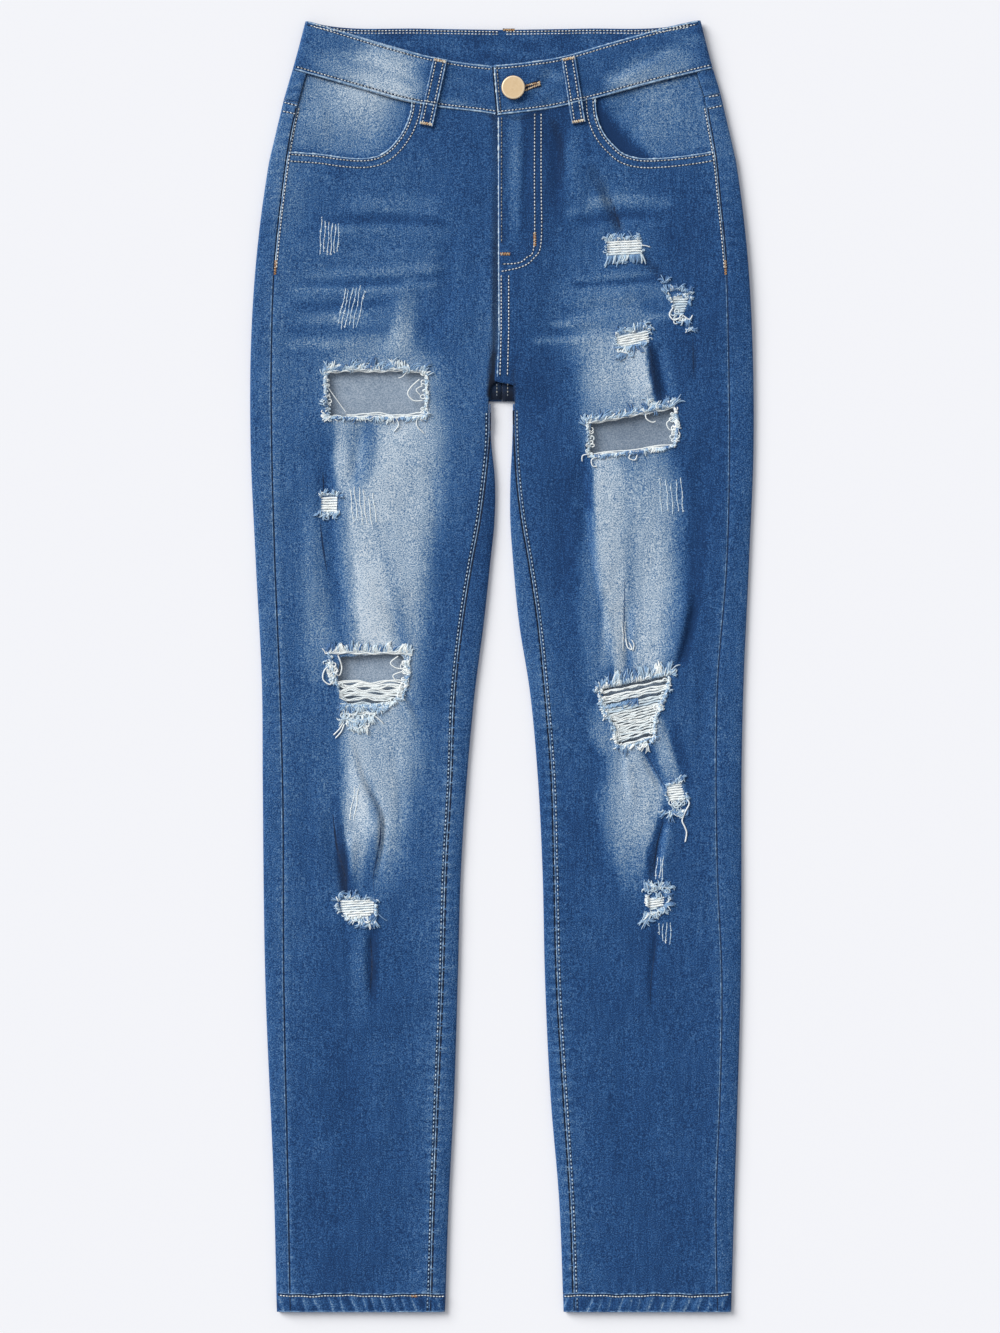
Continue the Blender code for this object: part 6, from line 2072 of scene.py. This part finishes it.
weft_patch("right", "low", -0.06, 720)
curls("right", ((125, -181, 0.8, 1, 6, 7, 0.45), (118, -181, 0.2, 1, 8, 6, 0.45),
                (110, -182, 0, 1, 9, 4, 0.5), (102, -182, -0.4, 1, 8, 4.5, 0.4),
                (127, -188, 1, -0.3, 7, 4.5, 0.45), (118.5, -196, 0.6, -1, 9, 6, 0.6),
                (108, -197.5, 0.1, -1, 9, 8, 0.4), (101, -193.5, -0.4, -1, 8, 9, 0.32),
                (99.5, -190, -1, 0, 9, 3, 0.6), (106, -198.5, -0.2, -1, 8, 7, 0.3),
                (102, -199, -0.5, -1, 7, 7, 0.34)), 730)
loops(((-121, -192), (-112, -196.5), (-104, -195)), (0.2, -1), 9, 4, 740, 0.85, 0.5)

for k, scratch in enumerate(SCRATCHES):
    scratches(*scratch, 800 + k)
single(((96.5, 22, 0.2), (98, 15, 0.4), (101.5, 13.5, 0.5), (99, 19, 0.3)), 0.5)
single(((101, 21, 0.2), (103, 17, 0.3), (102, 12, 0.2)), 0.42)

# ---------------------------------------------------------------- topstitching, worn edges and painted shade


def beside(side, edge, y, aside):
    """A row beside a seam, `aside` outwards of it."""
    return on_side(side, np.column_stack([edge(side, y) + aside, y]))


def band_row(side, rows, lap_end, fold, hidden):
    """The band's edge from its lapped end to the side fold, without what the other end hides."""
    across = np.arange(lap_end, fold - 1, 1.5)
    if side == "right":
        across = across[across > hidden]
    return np.column_stack([across, smooth(rows[side], 1, across)])


for side in SIDES:
    band_top = band_row(side, BAND_FRONT_TOP, LAP_END[side][0], BAND_SIDE[side][0], 8)
    band_foot = band_row(side, BAND_FRONT_FOOT, LAP_END[side][1], BAND_SIDE[side][1], 4)
    stitch_row(on_side(side, offset(band_top, 2.4)), 0.66)
    stitch_row(on_side(side, offset(band_foot, -2.4)), 0.66)
    bead(on_side(side, offset(band_top, 0.35)), 0.46, 0.38)
    bead(on_side(side, offset(band_foot, -0.4)), 0.56, 0.36)
    pocket = curve(POCKET_EDGE[side])
    pocket = pocket[pocket[:, 0] < outseam(side, 400) - 1.5]
    bead(on_side(side, offset(pocket, 0.5)), 0.6, 0.4)
    for inwards in (2.2, 7.4):
        stitch_row(on_side(side, offset(pocket, inwards)), 0.6)

    # the inseam, down to the hem and over it
    y = np.arange(198 if side == "right" else 200, HEM_Y - 1, -2)
    stitch_row(beside(side, inseam, y, 1.6), 0.8, groove=1.9, spread_tint=0.2, into=pale_strands, pitch=3.1)
    bead(beside(side, inseam, y, -0.3), 0.42, 0.3)
    # painted shade along the inseam's fold
    shade_ribbon(beside(side, inseam, y, -1.2), 1.4, tint=0)
    y = np.arange(HEM_Y - 2.4, FOOT_Y + 0.8, -1.3)
    stitch_row(beside(side, inseam, y, 1.9), 0.3, groove=1.6, into=pale_strands, pitch=3.1)
    # painted shade beside both seams over the hem
    shade_ribbon(beside(side, inseam, y, -0.6), 0.9, tint=0.1)
    shade_ribbon(beside(side, outseam, y, 0.2), 0.9, tint=0.1)

    # the outseam, stitched down to a tack below the pocket
    y = np.arange(436, 309, -2)
    stitch_row(beside(side, outseam, y, -1.7), 0.85)
    bead(beside(side, outseam, y, -0.5), 0.4, 0.4, 0.15, 0.6)
    # painted shade beside the outseam
    shade_ribbon(beside(side, outseam, y, 0.6), 1, tint=0)
    y = np.arange(305, HEM_Y - 1, -2)
    # painted shade beside the outseam down to the hem
    shade_ribbon(beside(side, outseam, y, 0.2), 1, tint=0.12 if side == "right" else 0.3)
    bead(beside(side, outseam, y, 1.3 if side == "right" else -0.8), 0.4, 0.14, 0.1, 0.6)
    for start, end in YOKE_ROWS[side]:
        stitch_row(on_side(side, (start, end)), 0.75)
    tack(*on_side(side, [(outseam(side, 316) - 0.6, 316.5), (outseam(side, 306) - 0.6, 306)]), 1.8, 0.5)

    # the hem's row, with painted shade and a worn line along the fold above it, and its foot
    a = np.arange(inner_edge(side, -491) + 0.4, outer_edge(side, -491), 2)
    wavy = -491.2 + 0.4 * np.sin(a / 8.7) + 0.25 * np.sin(a / 3.1 + 1)
    stitch_row(on_side(side, np.column_stack([a, wavy])), 0.62, pitch=2.3)
    shade_ribbon(on_side(side, np.column_stack([a, wavy + 0.95])), 0.9, tint=0.15)
    bead(on_side(side, np.column_stack([a, wavy + 2])), 0.5, 0.12, least=0.4)
    stitch_row(on_side(side, np.column_stack([a, 0 * a - 491.2])), 0.42, below=True)
    bead(on_side(side, np.column_stack([a, 0 * a - 503.2])), 0.3, 0.15, 0.1, 0.25)

# painted shade along the sharp creases
for side, width, tint, nodes in CREASE_SHADE_LINES:
    shade_ribbon(on_side(side, curve(nodes)), width, tint=tint, lift=0.03, taper=True)

# The fly: its J of two rows, its worn lap edge, and the rows below it
for nodes in (((30.5, 431), (30.5, 380), (30.5, 331), (25, 318.5), (15.5, 311.5), (-2.5, 307.5)),
              ((25.5, 431), (25.3, 380), (25, 328), (19, 318.5), (12.5, 314.5), (-1, 313.5))):
    stitch_row(curve(nodes), 0.68)
lap_edge = offset(((-3.1, 428), (-3, 380), (-3, 320), (-2.6, 262), (-4, 226)), -0.4)
bead(lap_edge[:4], 0.62, 0.55)
bead(lap_edge[3:], 0.5, 0.25)
lap_end = ((-6.5, 467.6), (-4.9, 448.5), (-3.2, 430))
bead(offset(lap_end, -0.4), 0.6, 0.5)
stitch_row(offset(lap_end, -2.4), 0.15)
# painted shadow beside the band's lapped end
shade_ribbon(offset(lap_end, 0.7), 1.4, tint=0)
tack((25.5, 338), (25.5, 328), 2, 0.6)
tack((-1, 321.5), (6, 321.5), 2.2, 0.6)
stitch_row([(-0.6, 305), (-0.6, 262), (-1.6, 226)], 0.85)
stitch_row([(5.2, 305), (5.2, 262), (4.2, 226)], 0.85)
stitch_row([(-0.4, 428), (-0.4, 330)], 0.12)
for x in (-4, 4.4):
    stitch_row([(x, 221), (x, 209.5)], 0.2, groove=0)

# Belt loops: edges, two rows of stitches and a tack at each end
for side in SIDES:
    top_a, top_y, foot_a, foot_y = FRONT_LOOPS[side]
    top, foot = np.array([SIGN[side] * top_a, top_y]), np.array([SIGN[side] * foot_a, foot_y])
    line = np.array([top + (foot - top) * share for share in np.linspace(0.01, 0.99, 30)])
    for aside in (-2.9, 2.9):
        stitch_row(offset(line, aside), 0.66)
    for aside in (-4.9, 4.9):
        bead(offset(line, aside), 0.42, 0.36)
    half = (offset([top, foot], 1)[0] - top) * 4.3
    for end, inwards in ((top, 0.03), (foot, -0.03)):
        spot = end + (foot - top) * inwards
        tack(spot - half, spot + half, 2, 0.85)

# Buttonhole on the left band end, with its slit in painted shade
shade_ribbon([(18, 450.5), (30, 454.4)], 5.4, tint=0)
tack((18, 448.8), (29.3, 453.5), 1.3, 0.8)
tack((18, 452.2), (29.3, 454.9), 1.3, 0.8)
tack((29.3, 453), (28.9, 455.6), 1.4, 0.8)
# painted shade along the slit
shade_ribbon(curve(((17.5, 451), (21, 452), (29, 454.3)), 8), 0.8, tint=0, lift=0.12)

# The back: the band's rows outside and the row along its top that shows inside, the yoke seam's rows, the
# pockets', the centre seam's and the loops'
for side in SIDES:
    a = np.arange(3, 148, 2)
    top = np.column_stack([SIGN[side] * a, smooth(BAND_BACK_TOP, 1, a) - 1.6])
    stitch_row(top, 0.66)
    stitch_row(top - [0, 2], 0.6, groove=0)
    stitch_row(top, 0.5, below=True)
    stitch_row(np.column_stack([SIGN[side] * a, smooth(BAND_BACK_FOOT, 1, a) + 2]), 0.5, below=True)
    a = np.arange(1, 156, 2)
    for gap in (1.8, 7):
        stitch_row(np.column_stack([SIGN[side] * a, yoke_seam_y(side, a, 0) - gap]), 0.5, below=True)
    pocket = np.array([*BACK_POCKET, BACK_POCKET[0]], float)
    centre = pocket[:-1].mean(axis=0)
    for inset in (0.965, 0.88):
        stitch_row(on_side(side, (centre + (pocket - centre) * inset)[1:]), 0.5, below=True)
    for inset in ((0.965, 0.965), (0.965, 0.74)):
        stitch_row(on_side(side, centre + (pocket[:2] - centre) * inset), 0.5, below=True)
for x in (1.9, 7):
    stitch_row([(x, 400), (x, 214)], 0.5, below=True)
for x in BACK_LOOPS.values():
    foot, top = BACK_LOOP_Y
    for aside in (-2.9, 2.9):
        stitch_row([(x + aside, foot + 1), (x + aside, top - 1)], 0.5, below=True)
    for y in (foot + 2, top - 2):
        tack((x - 4.2, y), (x + 4.2, y), 2, 0.55, below=True)
tack((1, 497), (9.5, 497), 1.6, 0.6)
tack((-70.5, -491), (-66.5, -491), 2.2, 0.5)

for strand_set, name, material, slot in (
        (thread_strands, "topstitching", THREAD, "topstitch_thread"),
        (orange_strands, "bartacks", ORANGE, "topstitch_thread"),
        (shade_ribbon_strands, "pressed_grooves", GROOVE_SHADE, "denim"),
        (bead_strands, "worn_edges", YARN, "frayed_yarn"),
        (pale_strands, "inseam_stitching", PALE_THREAD, "topstitch_thread"),
        (yarn_strands["right"], "frayed_yarns_right", YARN, "frayed_yarn"),
        (yarn_strands["left"], "frayed_yarns_left", YARN, "frayed_yarn")):
    piece = strand_set.made(name, material)
    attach(piece, "root")

# ---------------------------------------------------------------- attached to the root, in place of the solids

for node, piece in PANELS.items():
    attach(piece, "root")
    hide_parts(node)

# node: flat width and length in metres, the shaped cut's area, and what it lies on. A panel that is cut more
# than once is named without its side. Seam allowances are left out, and a ring is measured all round.
SHEETS = {
    "front": (0.187, 0.934, 0.131, ("back",)),
    "back": (0.222, 0.938, 0.177, ("floor",)),
    "yoke": (0.186, 0.064, 0.0068, ("floor",)),
    "pocket_facing": (0.12, 0.083, 0.0081, ("back", "yoke")),
    "hem": (0.258, 0.0145, None, ("floor",)),
    "back_pocket": (0.118, 0.126, 0.0134, ("floor",)),
    "belt_loop_front": (0.0105, 0.058, None, ("waistband",)),
    "belt_loop_back": (0.0105, 0.052, None, ("floor",)),
    "waistband": (0.69, 0.038, 0.0249, ("floor",)),
}
for node, piece in PANELS.items():
    name, _, side = node.rpartition("_")
    cut = node if node in SHEETS else name
    if cut in SHEETS:
        width, length, area, under = SHEETS[cut]

# ---------------------------------------------------------------- floor, light and camera

floor = made_object("floor", [(-30, -30, 0), (30, -30, 0), (30, 30, 0), (-30, 30, 0)], [(0, 1, 2, 3)],
                    [Shader("paper_floor").finish(ink(247, 247, 250), 0.9)])

sun = bpy.data.lights.new("key", "SUN")
sun.energy = 3.42
sun.angle = math.radians(38)
sun.color = (1, 0.995, 0.985)
key = bpy.data.objects.new("key", sun)
key.rotation_euler = (0, math.radians(-59), math.radians(-38))
bpy.context.scene.collection.objects.link(key)

# The world lights the object with one colour, and shows the camera a paler one past the floor's edge.
world = bpy.data.worlds.new("studio")
bpy.context.scene.world = world
world.use_nodes = True
nodes, links = world.node_tree.nodes, world.node_tree.links
light = nodes["Background"]
light.inputs["Color"].default_value = (0.93, 0.955, 1, 1)
light.inputs["Strength"].default_value = 0.44
beyond = nodes.new("ShaderNodeBackground")
beyond.inputs["Color"].default_value = (0.93, 0.935, 0.95, 1)
mix = nodes.new("ShaderNodeMixShader")
links.new(nodes.new("ShaderNodeLightPath").outputs["Is Camera Ray"], mix.inputs[0])
links.new(light.outputs[0], mix.inputs[1])
links.new(beyond.outputs[0], mix.inputs[2])
links.new(mix.outputs[0], nodes["World Output"].inputs["Surface"])

lens = bpy.data.cameras.new("camera")
lens.lens = 85
camera = bpy.data.objects.new("camera", lens)
camera.location = (-0.0016, 0, 2.461)
bpy.context.scene.collection.objects.link(camera)
bpy.context.scene.camera = camera
bpy.context.scene.view_settings.view_transform = "Standard"
